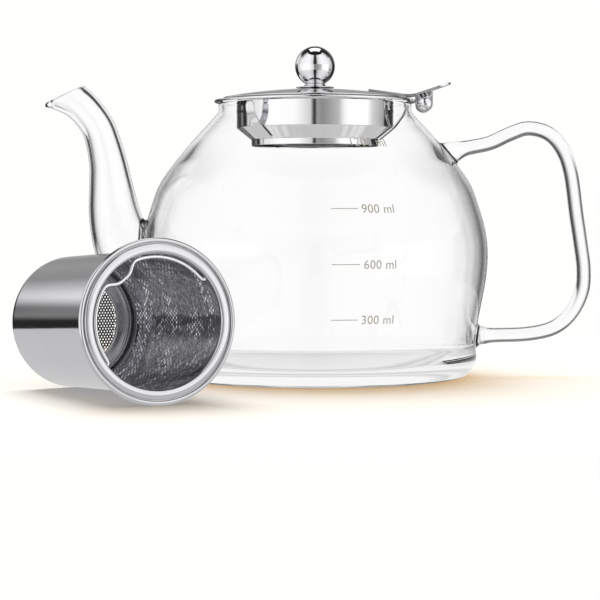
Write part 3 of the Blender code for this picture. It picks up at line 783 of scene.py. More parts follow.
class Tube:
    """A bent tube in the XZ plane with a varying radius."""

    def __init__(self, line, radii):
        self.run = lengths(line)
        self.line = line
        self.radii = radii
        self.along = directions(line, self.run)
        self.normal = np.column_stack([self.along[:, 1], -self.along[:, 0]])

    def point(self, run, angle, inset=0.0):
        run, angle = np.broadcast_arrays(np.atleast_1d(run), np.atleast_1d(angle))
        centre = values_at(self.run, self.line, run)
        normal = values_at(self.run, self.normal, run)
        radius = np.interp(run, self.run, self.radii) - inset
        lift = (radius * np.sin(angle))[:, None] * normal
        return np.column_stack([centre[:, 0] + lift[:, 0], radius * np.cos(angle), centre[:, 1] + lift[:, 1]])

    def distance(self, points, inset=0.0):
        flat = points[:, [0, 2]]
        apart = np.linalg.norm(flat[:, None, :] - self.line[None, :, :], axis=2)
        nearest = apart.argmin(axis=1)
        offset = flat - self.line[nearest]
        run = self.run[nearest] + (offset * self.along[nearest]).sum(axis=1)
        across = np.hypot((offset * self.normal[nearest]).sum(axis=1), points[:, 1])
        return across - np.interp(run, self.run, self.radii) + inset


def welded_distance(points, wall, tube, inset, weld):
    """Signed distance to wall and tube together, with the corner between them filled."""
    first = wall.distance(points)
    second = tube.distance(points, inset)
    near = np.maximum(weld - np.abs(first - second), 0) / weld
    return np.minimum(first, second) - near**2 * weld / 4


def settle(points, wall, tube, inset, weld):
    """Moves points near the corner of wall and tube onto the filled surface."""
    points = np.array(points, float)
    shift = 0.05
    for _ in range(4):
        value = welded_distance(points, wall, tube, inset, weld)
        shifted = [welded_distance(points + shift * axis, wall, tube, inset, weld) for axis in np.eye(3)]
        slope = np.column_stack([(moved - value) / shift for moved in shifted])
        points -= slope * (value / np.maximum((slope**2).sum(axis=1), 0.2))[:, None]
    return points


def crossings(tube, wall, angles, inset, leaving):
    """Where each long line of the tube passes through the wall, as distances along the tube."""
    runs = np.linspace(tube.run[0], tube.run[-1], 1200)
    half = len(runs) // 2
    found = []
    for angle in angles:
        value = wall.distance(tube.point(runs, angle, inset))
        inside = np.nonzero(value < 0)[0]
        index = inside[inside < half][-1] if leaving else inside[inside > half][0] - 1
        share = value[index] / (value[index] - value[index + 1])
        found.append(runs[index] + share * (runs[1] - runs[0]))
    return np.array(found)


def window(profile, rows, azimuth, height, half_rows, half_columns):
    """A rectangle of the wall's grid round an azimuth and a height: its first and last row and column."""
    middle = min(rows, key=lambda row: abs(profile[row][1] - height))
    column = int(round(azimuth / (2 * math.pi) * BODY_COLUMNS))
    return middle - half_rows, middle + half_rows, column - half_columns, column + half_columns


def window_cells(hole):
    low, high, left, right = hole
    return {(row, column % BODY_COLUMNS) for row in range(low, high) for column in range(left, right)}


def window_edge(grid, hole):
    low, high, left, right = hole
    columns = [column % BODY_COLUMNS for column in range(left, right + 1)]
    ring = [grid[low][column] for column in columns]
    ring += [grid[row][columns[-1]] for row in range(low + 1, high)]
    ring += [grid[high][column] for column in reversed(columns)]
    ring += [grid[row][columns[0]] for row in range(high - 1, low, -1)]
    return ring


def matched(shell, ring, tube, run):
    """The ring of the hole in the order of the tube's long lines."""
    points = np.array([shell.points[index] for index in ring])
    offset = points - (points.max(axis=0) + points.min(axis=0)) / 2
    normal = values_at(tube.run, tube.normal, np.array([run]))[0]
    across = offset[:, 1]
    lift = offset[:, 0] * normal[0] + offset[:, 2] * normal[1]
    lift -= (lift.max() + lift.min()) / 2
    angles = np.arctan2(lift / lift.max(), across / across.max())
    return [ring[index] for index in np.argsort(angles)]


def line_angles(count):
    return -math.pi + (np.arange(count) + 0.5) * 2 * math.pi / count


def wall_rings(shell, ring, feet, wall, tube, inset, weld):
    """Rings on the wall between the hole's edge and the tube's foot, from the hole inwards."""
    edge = np.array([shell.points[index] for index in ring])
    middle = math.atan2(feet[:, 1].mean(), feet[:, 0].mean())
    edge_turn, foot_turn = (
        (np.arctan2(p[:, 1], p[:, 0]) - middle + math.pi) % (2 * math.pi) - math.pi for p in (edge, feet)
    )
    rings = []
    for share in WALL_SHARES:
        angle = middle + edge_turn + (foot_turn - edge_turn) * share
        height = edge[:, 2] + (feet[:, 2] - edge[:, 2]) * share
        radius = wall.radius(height)
        points = np.column_stack([radius * np.cos(angle), radius * np.sin(angle), height])
        rings.append(shell.ring(settle(points, wall, tube, inset, weld)))
    return rings


def mouth_runs(tube, angles, inset):
    """Where each long line of the spout meets the oblique plane of its mouth, short of the lip's rounding."""
    corner, lip = np.array(SPOUT_TOP_CORNER), np.array(SPOUT_LIP)
    along = (lip - corner) / np.linalg.norm(lip - corner)
    outward = np.array([along[1], -along[0]])
    outward *= np.sign(outward[1])
    runs = np.linspace(tube.run[-1] / 2, tube.run[-1], 2500)
    found = []
    for angle in angles:
        points = tube.point(runs, angle, inset)[:, [0, 2]]
        past = (points - corner) @ outward > -SPOUT_WALL / 2
        found.append(runs[np.argmax(past)])
    return np.array(found), np.array([outward[0], 0, outward[1]])


def spout_side(shell, ring, wall, tube, inset):
    """The rings of the spout's outside or inside, from the hole in the wall to its lip."""
    angles = line_angles(len(ring))
    starts = crossings(tube, wall, angles, inset, True)
    ends, outward = mouth_runs(tube, angles, inset)
    ring = matched(shell, ring, tube, starts.mean())
    feet = tube.point(starts, angles, inset)
    rings = [ring, *wall_rings(shell, ring, feet, wall, tube, inset, SPOUT_WELD)]
    rings.append(shell.ring(settle(feet, wall, tube, inset, SPOUT_WELD)))
    for share in (np.arange(1, SPOUT_RINGS + 1) / SPOUT_RINGS) ** SPOUT_CROWDING:
        points = tube.point(starts + (ends - starts) * share, angles, inset)
        if share < SPOUT_ROOT_SHARE:
            points = settle(points, wall, tube, inset, SPOUT_WELD)
        rings.append(shell.ring(points))
    shell.chain(rings)
    return rings[-1], outward


def spout_lip(shell, outer, inner, outward):
    """Rounds the lip from the outside's last ring to the inside's."""
    first = np.array([shell.points[index] for index in outer])
    last = np.array([shell.points[index] for index in inner])
    centre = (first + last) / 2
    reach = np.linalg.norm(first - last, axis=1)[:, None] / 2
    rings = [outer]
    for angle in np.radians(LIP_ANGLES):
        sideways, ahead = (first - centre) * math.cos(angle), outward * reach * math.sin(angle)
        rings.append(shell.ring(centre + sideways + ahead))
    shell.chain([*rings, inner])


def join_handle(shell, top, bottom, wall, tube):
    """The handle's rod from the upper hole to the lower one, flared where it meets the wall."""
    angles = line_angles(len(top))
    starts = crossings(tube, wall, angles, 0.0, True)
    ends = crossings(tube, wall, angles, 0.0, False)
    top = matched(shell, top, tube, starts.mean())
    bottom = matched(shell, bottom, tube, ends.mean())
    rings = [top, *wall_rings(shell, top, tube.point(starts, angles), wall, tube, 0.0, HANDLE_WELD)]
    for step in range(HANDLE_RINGS + 1):
        even = step / HANDLE_RINGS
        share = even - HANDLE_CROWDING * math.sin(2 * math.pi * even) / (2 * math.pi)
        points = tube.point(starts + (ends - starts) * share, angles)
        if min(share, 1 - share) < HANDLE_ROOT_SHARE:
            points = settle(points, wall, tube, 0.0, HANDLE_WELD)
        rings.append(shell.ring(points))
    lower = wall_rings(shell, bottom, tube.point(ends, angles), wall, tube, 0.0, HANDLE_WELD)
    shell.chain([*rings, *reversed(lower), bottom])


def extended(line, distance, both):
    """The line lengthened straight back from its first point, and on from its last when both is set."""
    line = np.array(line, float)
    back = (line[0] - line[1]) * distance / np.linalg.norm((line[0] - line[1])[:2])
    ahead = (line[-1] - line[-2]) * distance / np.linalg.norm((line[-1] - line[-2])[:2])
    return np.vstack([line[0] + back, line] + ([line[-1] + ahead] if both else []))


def make_glass(finish):
    """Body, spout and handle as one closed mesh, with filled corners where the tubes leave the body."""
    outer_rows, inner_rows = body_lines()
    rim = circle_arc((NECK_RADIUS - GLASS_WALL / 2, RIM_TOP - GLASS_WALL / 2), GLASS_WALL / 2, 30, 150, 4)
    base = [(r, BASE_HOLLOW * max(0.0, 1 - (r / BASE_HOLLOW_RADIUS) ** 2)) for r in np.linspace(5, 55, 11)]
    floor = [(r, FLOOR_TOP) for r in np.linspace(45, 5, 9)]
    below = [(0, BASE_HOLLOW), *base]
    profile = [*below, *outer_rows[::-1], *rim, *inner_rows, *floor, (0, FLOOR_TOP)]
    outer_span = range(len(below), len(below) + len(outer_rows))
    inner_start = outer_span.stop + len(rim)
    inner_span = range(inner_start, inner_start + len(inner_rows))

    shell = Shell()
    grid = [shell.ring(circle(radius, height, BODY_COLUMNS)) for radius, height in profile]
    spout_outside = window(profile, outer_span, math.pi, *SPOUT_OPENING)
    spout_inside = window(profile, inner_span, math.pi, *SPOUT_OPENING)
    handle_top = window(profile, outer_span, 0, *HANDLE_TOP_OPENING)
    handle_bottom = window(profile, outer_span, 0, *HANDLE_BOTTOM_OPENING)
    holes = [spout_outside, spout_inside, handle_top, handle_bottom]
    missing = set().union(*(window_cells(hole) for hole in holes))
    for row, (first, second) in enumerate(zip(grid, grid[1:])):
        for column, face in enumerate(ring_faces(first, second)):
            if (row, column) not in missing:
                shell.faces.append(face)

    outer_wall, inner_wall = Wall(outer_rows), Wall(inner_rows)
    line = curve_through(extended(SPOUT_LINE, SPOUT_INTO_BODY, False), 16)
    spout = Tube(line[:, :2], line[:, 2])
    outer_end, outward = spout_side(shell, window_edge(grid, spout_outside), outer_wall, spout, 0.0)
    inner_end, _ = spout_side(shell, window_edge(grid, spout_inside), inner_wall, spout, SPOUT_WALL)
    spout_lip(shell, outer_end, inner_end, outward)

    line = curve_through(extended(HANDLE_LINE, HANDLE_INTO_BODY, True), 14)
    run = lengths(line)
    top, bottom = HANDLE_FLARE_FROM
    from_wall = np.minimum(np.maximum(run - top, 0), np.maximum(run[-1] - bottom - run, 0))
    handle = Tube(line, HANDLE_RADIUS + HANDLE_FLARE * np.exp(-((from_wall / HANDLE_FLARE_LENGTH) ** 2)))
    top_edge, bottom_edge = window_edge(grid, handle_top), window_edge(grid, handle_bottom)
    join_handle(shell, top_edge, bottom_edge, outer_wall, handle)

    used = sorted({index for face in shell.faces for index in face})
    renumber = {old: new for new, old in enumerate(used)}
    points = [shell.points[index] for index in used]
    faces = [tuple(renumber[index] for index in face) for face in shell.faces]
    return make_piece("fused_glass", points, faces, finish)


# ---------------------------------------------------------------- the printed scale


def wrap(points, wall, start):
    """Flat points (along, height, lift) laid on the front of the glass from the starting angle on."""
    along, height, lift = points.T
    radius = wall.radius(height) + INK_LIFT + lift
    angle = -math.pi / 2 + math.radians(start) + along / wall.radius(height.mean())
    return np.column_stack([radius * np.cos(angle), radius * np.sin(angle), height])


def label_shape(text):
    """Flat points and faces of a text, in millimetres."""
    curve = bpy.data.curves.new("label", "FONT")
    curve.body = text
    curve.size = NUMBER_HEIGHT / CAPITAL_SHARE
    curve.extrude = INK_DEPTH / 2
    curve.resolution_u = 4
    curve.space_character = NUMBER_SPACING
    item = bpy.data.objects.new("label", curve)
    bpy.context.scene.collection.objects.link(item)
    graph = bpy.context.evaluated_depsgraph_get()
    mesh = bpy.data.meshes.new_from_object(item.evaluated_get(graph))
    bpy.data.objects.remove(item)
    shape = bmesh.new()
    shape.from_mesh(mesh)
    bmesh.ops.remove_doubles(shape, verts=shape.verts, dist=0.0005)
    points = np.array([vertex.co[:] for vertex in shape.verts])
    faces = [tuple(vertex.index for vertex in face.verts) for face in shape.faces]
    shape.free()
    points[:, 0] -= points[:, 0].min()
    return points, faces


def tick_shape(length):
    """Points and faces of a straight bar along X."""
    points, faces = [], []
    for step in range(TICK_STEPS + 1):
        x = length * step / TICK_STEPS
        for y, lift in ((-1, -1), (1, -1), (1, 1), (-1, 1)):
            points.append((x, y * INK_LINE / 2, lift * INK_DEPTH / 2))
    for step in range(TICK_STEPS):
        faces += ring_faces(range(4 * step, 4 * step + 4), range(4 * step + 4, 4 * step + 8))
    faces += [(3, 2, 1, 0), tuple(range(4 * TICK_STEPS, 4 * TICK_STEPS + 4))]
    return np.array(points), faces


def make_scale(finish):
    """Numbers and ticks of the volume scale, wrapped on the front of the glass as one thin printed piece."""
    wall = Wall(body_lines()[0])
    points, faces = [], []
    marks = []
    for text, height in MARKS:
        flat, label_faces = label_shape(text)
        flat[:, 1] += height - NUMBER_HEIGHT / 2
        marks.append((flat, label_faces, NUMBER_START))
    for _, height in MARKS[1:]:
        length = math.radians(TICK_END - TICK_START) * float(wall.radius(height))
        flat, tick_faces = tick_shape(length)
        flat[:, 1] += height
        marks.append((flat, tick_faces, TICK_START))
    for flat, mark_faces, start in marks:
        base = len(points)
        points += list(wrap(flat, wall, start))
        faces += [tuple(index + base for index in face) for face in mark_faces]
    return make_piece("volume_scale", points, faces, finish)


# ---------------------------------------------------------------- the lid unit


def make_collar(finish):
    """A ring with a flange, an upright wall, a cone and a narrower lower rim, all of one sheet."""
    edge = (FLANGE_TOP - FLANGE_BOTTOM) / 2
    corners = [
        (FLANGE_RADIUS, FLANGE_TOP, edge),
        (FLANGE_RADIUS, FLANGE_BOTTOM, edge),
        (COLLAR_RADIUS, FLANGE_BOTTOM, 1.0),
        (COLLAR_RADIUS, CONE_TOP, 0.7),
        (SEAT_RADIUS, CONE_BOTTOM, 0.7),
        (SEAT_RADIUS, COLLAR_BOTTOM, 0.2),
        (SEAT_RADIUS - SHEET, COLLAR_BOTTOM, 0.2),
        (SEAT_RADIUS - SHEET, CONE_BOTTOM + SHEET / 2, 0.7),
        (COLLAR_RADIUS - SHEET, CONE_TOP + SHEET / 2, 0.7),
        (COLLAR_RADIUS - SHEET, FLANGE_TOP, 1.0),
    ]
    return turned("collar_ring", held(rounded(corners, 5)), finish, steps=192, even=True)


def strip(name, line, half_widths, thickness, finish, matrix, bevel=0.12):
    """A bent strip: its middle runs along the line in the local XZ plane, its width lies along local Y."""
    along = directions(line)
    side = np.column_stack([-along[:, 1], along[:, 0]]) * thickness / 2
    points, rings = [], []
    for (x, z), (dx, dz), half in zip(line, side, half_widths):
        rings.append(list(range(len(points), len(points) + 4)))
        points += [(x + dx, -half, z + dz), (x + dx, half, z + dz)]
        points += [(x - dx, half, z - dz), (x - dx, -half, z - dz)]
    faces = [tuple(rings[0][::-1]), tuple(rings[-1])]
    for first, second in zip(rings, rings[1:]):
        faces += ring_faces(first, second)
    item = make_piece(name, points, faces, finish, matrix)
    soften(item, bevel)
    return item


def round_end(line, half, end_radius):
    """Half widths along the line that close in a rounded end at its last point."""
    left = lengths(line)[-1] - lengths(line)
    inside = np.clip(end_radius - left, 0, end_radius)
    return half - end_radius + np.sqrt(np.maximum(end_radius**2 - inside**2, 0.01))


def dense_end(line, end_radius, steps=10):
    """The line with extra points, ever closer, over its last stretch."""
    run = lengths(line)
    extra = run[-1] - end_radius * (1 - np.sin(np.linspace(0, math.pi / 2, steps)))
    at = np.unique(np.round(np.concatenate([run[run < run[-1] - end_radius], extra]), 4))
    return values_at(run, line, at)


def make_clips(finish):
    """Each strip lies on the cone, runs on outwards in line with it, and turns up along the neck."""
    slope = np.array([COLLAR_RADIUS - SEAT_RADIUS, CONE_TOP - CONE_BOTTOM])
    slope /= np.linalg.norm(slope)
    normal = np.array([slope[1], -slope[0]])
    foot = np.array([SEAT_RADIUS, CONE_BOTTOM]) + normal * (CLIP_THICKNESS / 2 + JOINT) + slope * 0.5
    reach = CLIP_REACH - CLIP_THICKNESS / 2
    shoulder = foot + slope * CLIP_ON_CONE
    knee = (reach - CLIP_THICKNESS, CLIP_KNEE)
    corners = [foot, shoulder, knee, (reach, CLIP_KNEE + 2.0), (reach, CLIP_TIP)]
    line = dense_end(bent(corners, CLIP_BEND), CLIP_WIDTH / 3)
    widths = round_end(line, CLIP_WIDTH / 2, CLIP_WIDTH / 3)
    pieces = []
    for name, angle in CLIP_ANGLES.items():
        matrix = Matrix.Rotation(math.radians(angle), 4, "Z")
        piece = strip(name.replace("spring_clip", "clip_strip"), line, widths, CLIP_THICKNESS, finish, matrix)
        pieces.append((piece, name))
    return pieces


def eyelet(name, outline, low, high, finish, bevel=0.12):
    """A plate round the hinge pin between two values of Y, with a round hole for the pin."""
    outline = np.array(outline, float) - (PIN_X, PIN_Z)
    outline = outline[np.argsort(np.arctan2(outline[:, 1], outline[:, 0]))]
    hole = outline / np.linalg.norm(outline, axis=1)[:, None] * PIN_HOLE
    count = len(outline)
    points = []
    for y in (low, high):
        for loop in (outline, hole):
            points += [(PIN_X + x, y, PIN_Z + z) for x, z in loop]
    rings = [list(range(start, start + count)) for start in (0, count, 3 * count, 2 * count)]
    faces = []
    for first, second in zip(rings, rings[1:] + rings[:1]):
        faces += ring_faces(first, second)
    item = make_piece(name, points, faces, finish)
    soften(item, bevel)
    return item


def make_knuckle(finish):
    """A barrel round the pin, with a tongue welded to the flange's edge."""
    low, high = PIN_Z - 0.1, PIN_Z + TONGUE_RISE
    start = FLANGE_RADIUS + JOINT
    meet = PIN_X - math.sqrt(BARREL_RADIUS**2 - TONGUE_RISE**2)
    tongue = [(start, low), (start, (low + high) / 2), (start, high), ((start + meet) / 2, high)]
    barrel = circle_arc((PIN_X, PIN_Z), BARREL_RADIUS, -177, 137, 40)
    outline = [*tongue, *barrel]
    return eyelet("knuckle_barrel", outline, -BARREL_HALF_LENGTH, BARREL_HALF_LENGTH, finish)


def make_pin(finish):
    """A rivet along Y with two domed heads."""
    outside = EAR_INSIDE + EAR_THICKNESS + 0.1
    sphere = (RIVET_RADIUS**2 + RIVET_HEIGHT**2) / (2 * RIVET_HEIGHT)
    spread = math.degrees(math.asin(RIVET_RADIUS / sphere))
    head = circle_arc((0, outside + RIVET_HEIGHT - sphere), sphere, 90, 90 - spread, 12)
    half = [(0, head[0][1]), *head[1:], (RIVET_RADIUS - 0.15, outside), (SHANK_RADIUS, outside)]
    profile = half + [(radius, -along) for radius, along in reversed(half)]
    matrix = Matrix.Translation((PIN_X * MM, 0, PIN_Z * MM)) @ Matrix.Rotation(math.radians(90), 4, "X")
    return turned("rivet", profile, finish, steps=48, closed=False, matrix=matrix, even=True)


# ---------------------------------------------------------------- the lid


def make_lid(finish):
    """A shallow dome with a fine rolled edge."""
    drop = LID_CREST - (LID_EDGE_BOTTOM + SHEET)
    sphere = (LID_RADIUS**2 + drop**2) / (2 * drop)
    start, end = (math.degrees(math.asin(radius / sphere)) for radius in (KNOB_BORE, LID_RADIUS - 0.3))
    top = circle_arc((0, LID_CREST - sphere), sphere, 90 - start, 90 - end, 28)
    under = circle_arc((0, LID_CREST - SHEET - sphere), sphere, 90 - start, 90 - end, 20)
    edge = circle_arc((LID_RADIUS - 0.25, LID_EDGE_BOTTOM + 0.3), 0.3, 70, -90, 6)
    return turned("lid_dome", [*top, *edge, *under[::-1]], finish, steps=192)


def make_lever(finish):
    """A bent strip with a round tip, and two ears that hang down over the pin."""
    line = dense_end(bent(LEVER_LINE, 4.0, 8), LEVER_HALF_WIDTH, 16)
    widths = round_end(line, LEVER_HALF_WIDTH, LEVER_HALF_WIDTH - 0.2)
    lever = strip("thumb_strip", line, widths, LEVER_THICKNESS, finish, None, bevel=0.2)
    bake(lever)
    ear = circle_arc((PIN_X, PIN_Z), EAR_RADIUS, -180, 0, 28)
    across = np.linspace(EAR_RADIUS, -EAR_RADIUS, 9)
    top = [(PIN_X + x, EAR_TOP + (x + EAR_RADIUS) * EAR_TOP_RISE / (2 * EAR_RADIUS)) for x in across]
    straight = [(PIN_X + side * EAR_RADIUS, PIN_Z + rise) for side in (-1, 1) for rise in (1.0, 2.0, 3.0)]
    for side in (-1, 1):
        ends = sorted((side * EAR_INSIDE, side * (EAR_INSIDE + EAR_THICKNESS)))
        helper = eyelet("ear", [*top, *ear, *straight], *ends, finish, bevel=0.15)
        bake(helper)
        union(lever, helper)
    lever.data.shade_smooth()
    even_shading(lever)
    return lever


def make_ball(finish):
    """The ball knob, bored from below for its screw."""
    bore = math.degrees(math.acos(KNOB_BORE / BALL_RADIUS))
    arc = circle_arc((0, BALL_HEIGHT), BALL_RADIUS, 90, -bore, 60)
    depth = BALL_HEIGHT - BALL_RADIUS + KNOB_BORE_DEPTH
    bore_end = [(KNOB_BORE, depth - 4), (KNOB_BORE, depth), (0, depth)]
    profile = [(0, BALL_HEIGHT + BALL_RADIUS), *arc[1:], *bore_end]
    return turned("knob_sphere", profile, finish, steps=128, closed=False)


def make_foot(finish):
    """A trumpet-shaped ring between the ball and the lid, with a thin rolled edge."""
    top = BALL_HEIGHT - math.sqrt(BALL_RADIUS**2 - FOOT_NECK**2) - JOINT
    flare = curve_through([(FOOT_NECK, top), (5.0, top - 0.9), (FOOT_RADIUS - 0.15, FOOT_EDGE)], 8)
    roll = circle_arc((FOOT_RADIUS - FOOT_ROLL, FOOT_EDGE - FOOT_ROLL), FOOT_ROLL, 80, -80, 5)
    profile = [*flare[:-1], *roll, (6.2, FOOT_BOTTOM), (KNOB_BORE, FOOT_BOTTOM), (KNOB_BORE, top - SHEET)]
    return turned("knob_trumpet", profile, finish, steps=128)


def make_screw(finish):
    """A machine screw: its threaded shank stands in the ball, and its slotted head is under the lid."""
    head_top = LID_CREST - SHEET - JOINT
    head_bottom = head_top - SCREW_HEAD
    tip = BALL_HEIGHT - BALL_RADIUS + KNOB_BORE_DEPTH - JOINT
    shank = [(SCREW_RADIUS, head_top + 0.2)]
    for turn in range(THREADS):
        low = head_top + 0.8 + turn * THREAD_PITCH
        shank += [(SCREW_RADIUS, low), (THREAD_ROOT, low + 0.37)]
    shank += [(SCREW_RADIUS, tip - 0.4), (SCREW_RADIUS - 0.4, tip)]
    profile = [(0, tip), *reversed(shank), (SCREW_RADIUS, head_top), (3.7, head_top), (3.8, head_top - 0.1)]
    profile += [*circle_arc((2.6, head_top - 0.7), 1.1, 0, -90, 6), (0, head_bottom)]
    item = turned("knob_bolt", profile, finish, steps=48, closed=False)
    slot = box_mesh("slot", (12.0, 0.9, 1.4), (0, 0, head_bottom), finish)
    cut = item.modifiers.new("Slot", "BOOLEAN")
    cut.operation = "DIFFERENCE"
    cut.object = slot
    bake(item)
    bpy.data.objects.remove(slot)
    even_shading(item)
    return item


def box_mesh(name, size, middle, finish):
    corners = [(x, y, z) for x in (-0.5, 0.5) for y in (-0.5, 0.5) for z in (-0.5, 0.5)]
    points = [[m + s * c for m, s, c in zip(middle, size, corner)] for corner in corners]
    faces = [(0, 1, 3, 2), (4, 6, 7, 5), (0, 4, 5, 1), (2, 3, 7, 6), (0, 2, 6, 4), (1, 5, 7, 3)]
    return make_piece(name, points, faces, finish)


# ---------------------------------------------------------------- the infuser


def infuser_matrix():
    """The frame of the infuser: +Z runs out of its mouth, and z = 0 is the rim's front."""
    tilt = math.atan2(INFUSER_RIM_RADIUS - INFUSER_RADIUS, INFUSER_LENGTH - RIM_BEAD)
    height = RIM_BEAD * math.sin(tilt) + INFUSER_RIM_RADIUS * math.cos(tilt)
    place = Matrix.Translation((INFUSER_X * MM, INFUSER_Y * MM, height * MM))
    turn = Matrix.Rotation(math.radians(INFUSER_HEADING), 4, "Z")
    return place @ turn @ Matrix.Rotation(math.radians(90) - tilt, 4, "X")


def make_infuser_wall(outer_finish, inside_with_painted_light, matrix):
    """The cup's wall. Its inside has a material of its own, with painted glints and painted light in its
    slits.
    """
    inside = INFUSER_RADIUS - INFUSER_SHEET
    heights = np.linspace(-2.3, -INFUSER_LENGTH + 0.3, 40)
    outer = [(INFUSER_RADIUS, z) for z in heights]
    inner = [(inside, z) for z in heights[::-1]]
    lower = [(INFUSER_RADIUS - 0.1, -INFUSER_LENGTH), (inside + 0.1, -INFUSER_LENGTH)]
    upper = [(inside + 0.1, -2.1), (INFUSER_RADIUS - 0.1, -2.1)]
    item = turned("infuser_cup", [*outer, *lower, *inner, *upper], outer_finish, steps=192, matrix=matrix)
    item.data.materials.append(inside_with_painted_light)
    for face in item.data.polygons:
        if math.hypot(*face.center[:2]) < (INFUSER_RADIUS - INFUSER_SHEET / 2) * MM:
            face.material_index = 1
    return item


def make_infuser_ring(finish, matrix):
    """The solid outer part of the base, with two pressed ribs and a turned-up edge inside the wall."""
    radius = INFUSER_RADIUS - INFUSER_SHEET - JOINT
    inside = radius - INFUSER_SHEET
    bottom = -INFUSER_LENGTH + 0.4
    floor = bottom + INFUSER_SHEET
    hole = SIEVE_RADIUS - 0.5
    edge = bottom + BASE_EDGE
    upper = [(hole, floor), (18.2, floor), *((r, floor + rise) for r, rise in BASE_RIBS)]
    upper += [(23.5, floor + 1.2), (inside, floor + 2.0), (inside, edge - 0.1), (inside + 0.1, edge)]
    lower = [(radius - 0.1, edge), (radius, edge - 0.1), (radius, bottom + 0.8), (radius - 0.2, bottom + 0.2)]
    lower += [(radius - 0.7, bottom), (21.0, bottom), (hole, bottom)]
    profile = [*upper, *lower]
    return turned("infuser_base_ring", profile, finish, steps=160, matrix=matrix, even=True)


def make_sieve(finish, matrix):
    """The perforated middle of the base: hexagonal cells, each with a round hole."""
    low = -INFUSER_LENGTH + 0.45
    high = low + 0.4
    row_step = SIEVE_PITCH * math.sqrt(3) / 2
    count = int(SIEVE_RADIUS / row_step) + 1
    corner_radius = SIEVE_PITCH / math.sqrt(3)
    corners, points, faces, edges = {}, [], [], {}

    def corner(x, y):
        key = (round(x, 3), round(y, 3))
        if key not in corners:
            corners[key] = len(points)
            points.extend([(x, y, high), (x, y, low)])
        return corners[key]

    for row in range(-count, count + 1):
        for column in range(-count - 2, count + 3):
            x = (column + 0.5 * (row % 2)) * SIEVE_PITCH
            y = row * row_step
            if math.hypot(x, y) > SIEVE_RADIUS - corner_radius:
                continue
            angles = [math.radians(30 + 60 * k) for k in range(6)]
            cell = [corner(x + corner_radius * math.cos(a), y + corner_radius * math.sin(a)) for a in angles]
            hole = []
            for a in angles:
                hole.append(len(points))
                px, py = x + SIEVE_HOLE * math.cos(a), y + SIEVE_HOLE * math.sin(a)
                points.extend([(px, py, high), (px, py, low)])
            for k in range(6):
                n = (k + 1) % 6
                faces.append((cell[k], cell[n], hole[n], hole[k]))
                faces.append((cell[n] + 1, cell[k] + 1, hole[k] + 1, hole[n] + 1))
                faces.append((hole[k], hole[n], hole[n] + 1, hole[k] + 1))
                pair = (cell[k], cell[n])
                if pair[::-1] in edges:
                    del edges[pair[::-1]]
                else:
                    edges[pair] = True
    faces += [(first + 1, second + 1, second, first) for first, second in edges]
    item = make_piece("infuser_sieve", points, faces, finish, matrix)
    item.data.shade_flat()
    return item


def make_infuser_rim(finish, matrix):
    """A rolled bead, a narrow groove, a broad crowned band and a rounded mouth with a skirt."""
    bead = circle_arc((INFUSER_RIM_RADIUS - RIM_BEAD, -RIM_BEAD), RIM_BEAD, -90, 140, 16)
    crown = curve_through(RIM_CROWN, 5)
    outside = MOUTH_RADIUS + INFUSER_SHEET
    skirt = [(MOUTH_RADIUS, -1.6), (MOUTH_RADIUS, 0.2 - RIM_SKIRT), (MOUTH_RADIUS + 0.1, -RIM_SKIRT)]
    skirt += [(outside - 0.1, -RIM_SKIRT), (outside, 0.2 - RIM_SKIRT), (outside, -2.1), (outside + 0.3, -1.8)]
    profile = [*bead, *RIM_GROOVE, *crown, *skirt]
    return turned("infuser_rim_ring", profile, finish, steps=224, matrix=matrix, even=True)


def make_bail(finish, matrix):
    """A half-ring of wire with a dent half-way for a fingertip; its ends turn out into the rim."""
    start = math.radians(BAIL_PIVOT_ANGLE)
    end = start + math.pi
    turned_out = [(MOUTH_RADIUS + 0.4, 0.0), (BAIL_RADIUS + 0.55, 0.0), (BAIL_RADIUS + 0.25, 0.02)]
    line = [polar(radius, start + turn) for radius, turn in turned_out]
    for angle in np.linspace(start + math.radians(5), end - math.radians(5), 90):
        off = (angle - (start + math.pi / 2)) / math.radians(BAIL_DENT_HALF_ANGLE)
        line.append(polar(BAIL_RADIUS - BAIL_DENT * math.exp(-(off**4)), angle))
    line += [polar(radius, end - turn) for radius, turn in reversed(turned_out)]
    sunk = matrix @ Matrix.Translation((0, 0, -BAIL_DEPTH * MM))
    return swept("bail_wire", resample(line, 0.8), BAIL_WIRE, 16, finish, sunk)


def polar(radius, angle):
    return (radius * math.cos(angle), radius * math.sin(angle), 0)


# ---------------------------------------------------------------- studio


def level(nodes, heading, light):
    """One level of light all round, or levels by compass heading."""
    if not isinstance(light, list):
        return tint(light)
    return nodes.ramp(heading, [((angle + 180) / 360, value) for angle, value in light])


def layered(nodes, rise, heading, lowest, layers):
    """Light that changes with the rise above the horizon."""
    light = tint(lowest)
    for start, end, above in layers:
        light = nodes.blend(nodes.step(rise, start, end), light, level(nodes, heading, above))
    return light


def mirrored_part(nodes, path):
    """1 for light that steel mirrors, with or without glass before it, and 0 for light that glass bends."""
    passes = path["Transmission Depth"]
    bare = nodes.math("LESS_THAN", passes, 0.5)
    behind_glass = nodes.math("GREATER_THAN", passes, 3.5)
    steel_seen = nodes.math("MAXIMUM", bare, behind_glass)
    return nodes.times(nodes.math("MINIMUM", path["Glossy Depth"], 1.0), steel_seen)


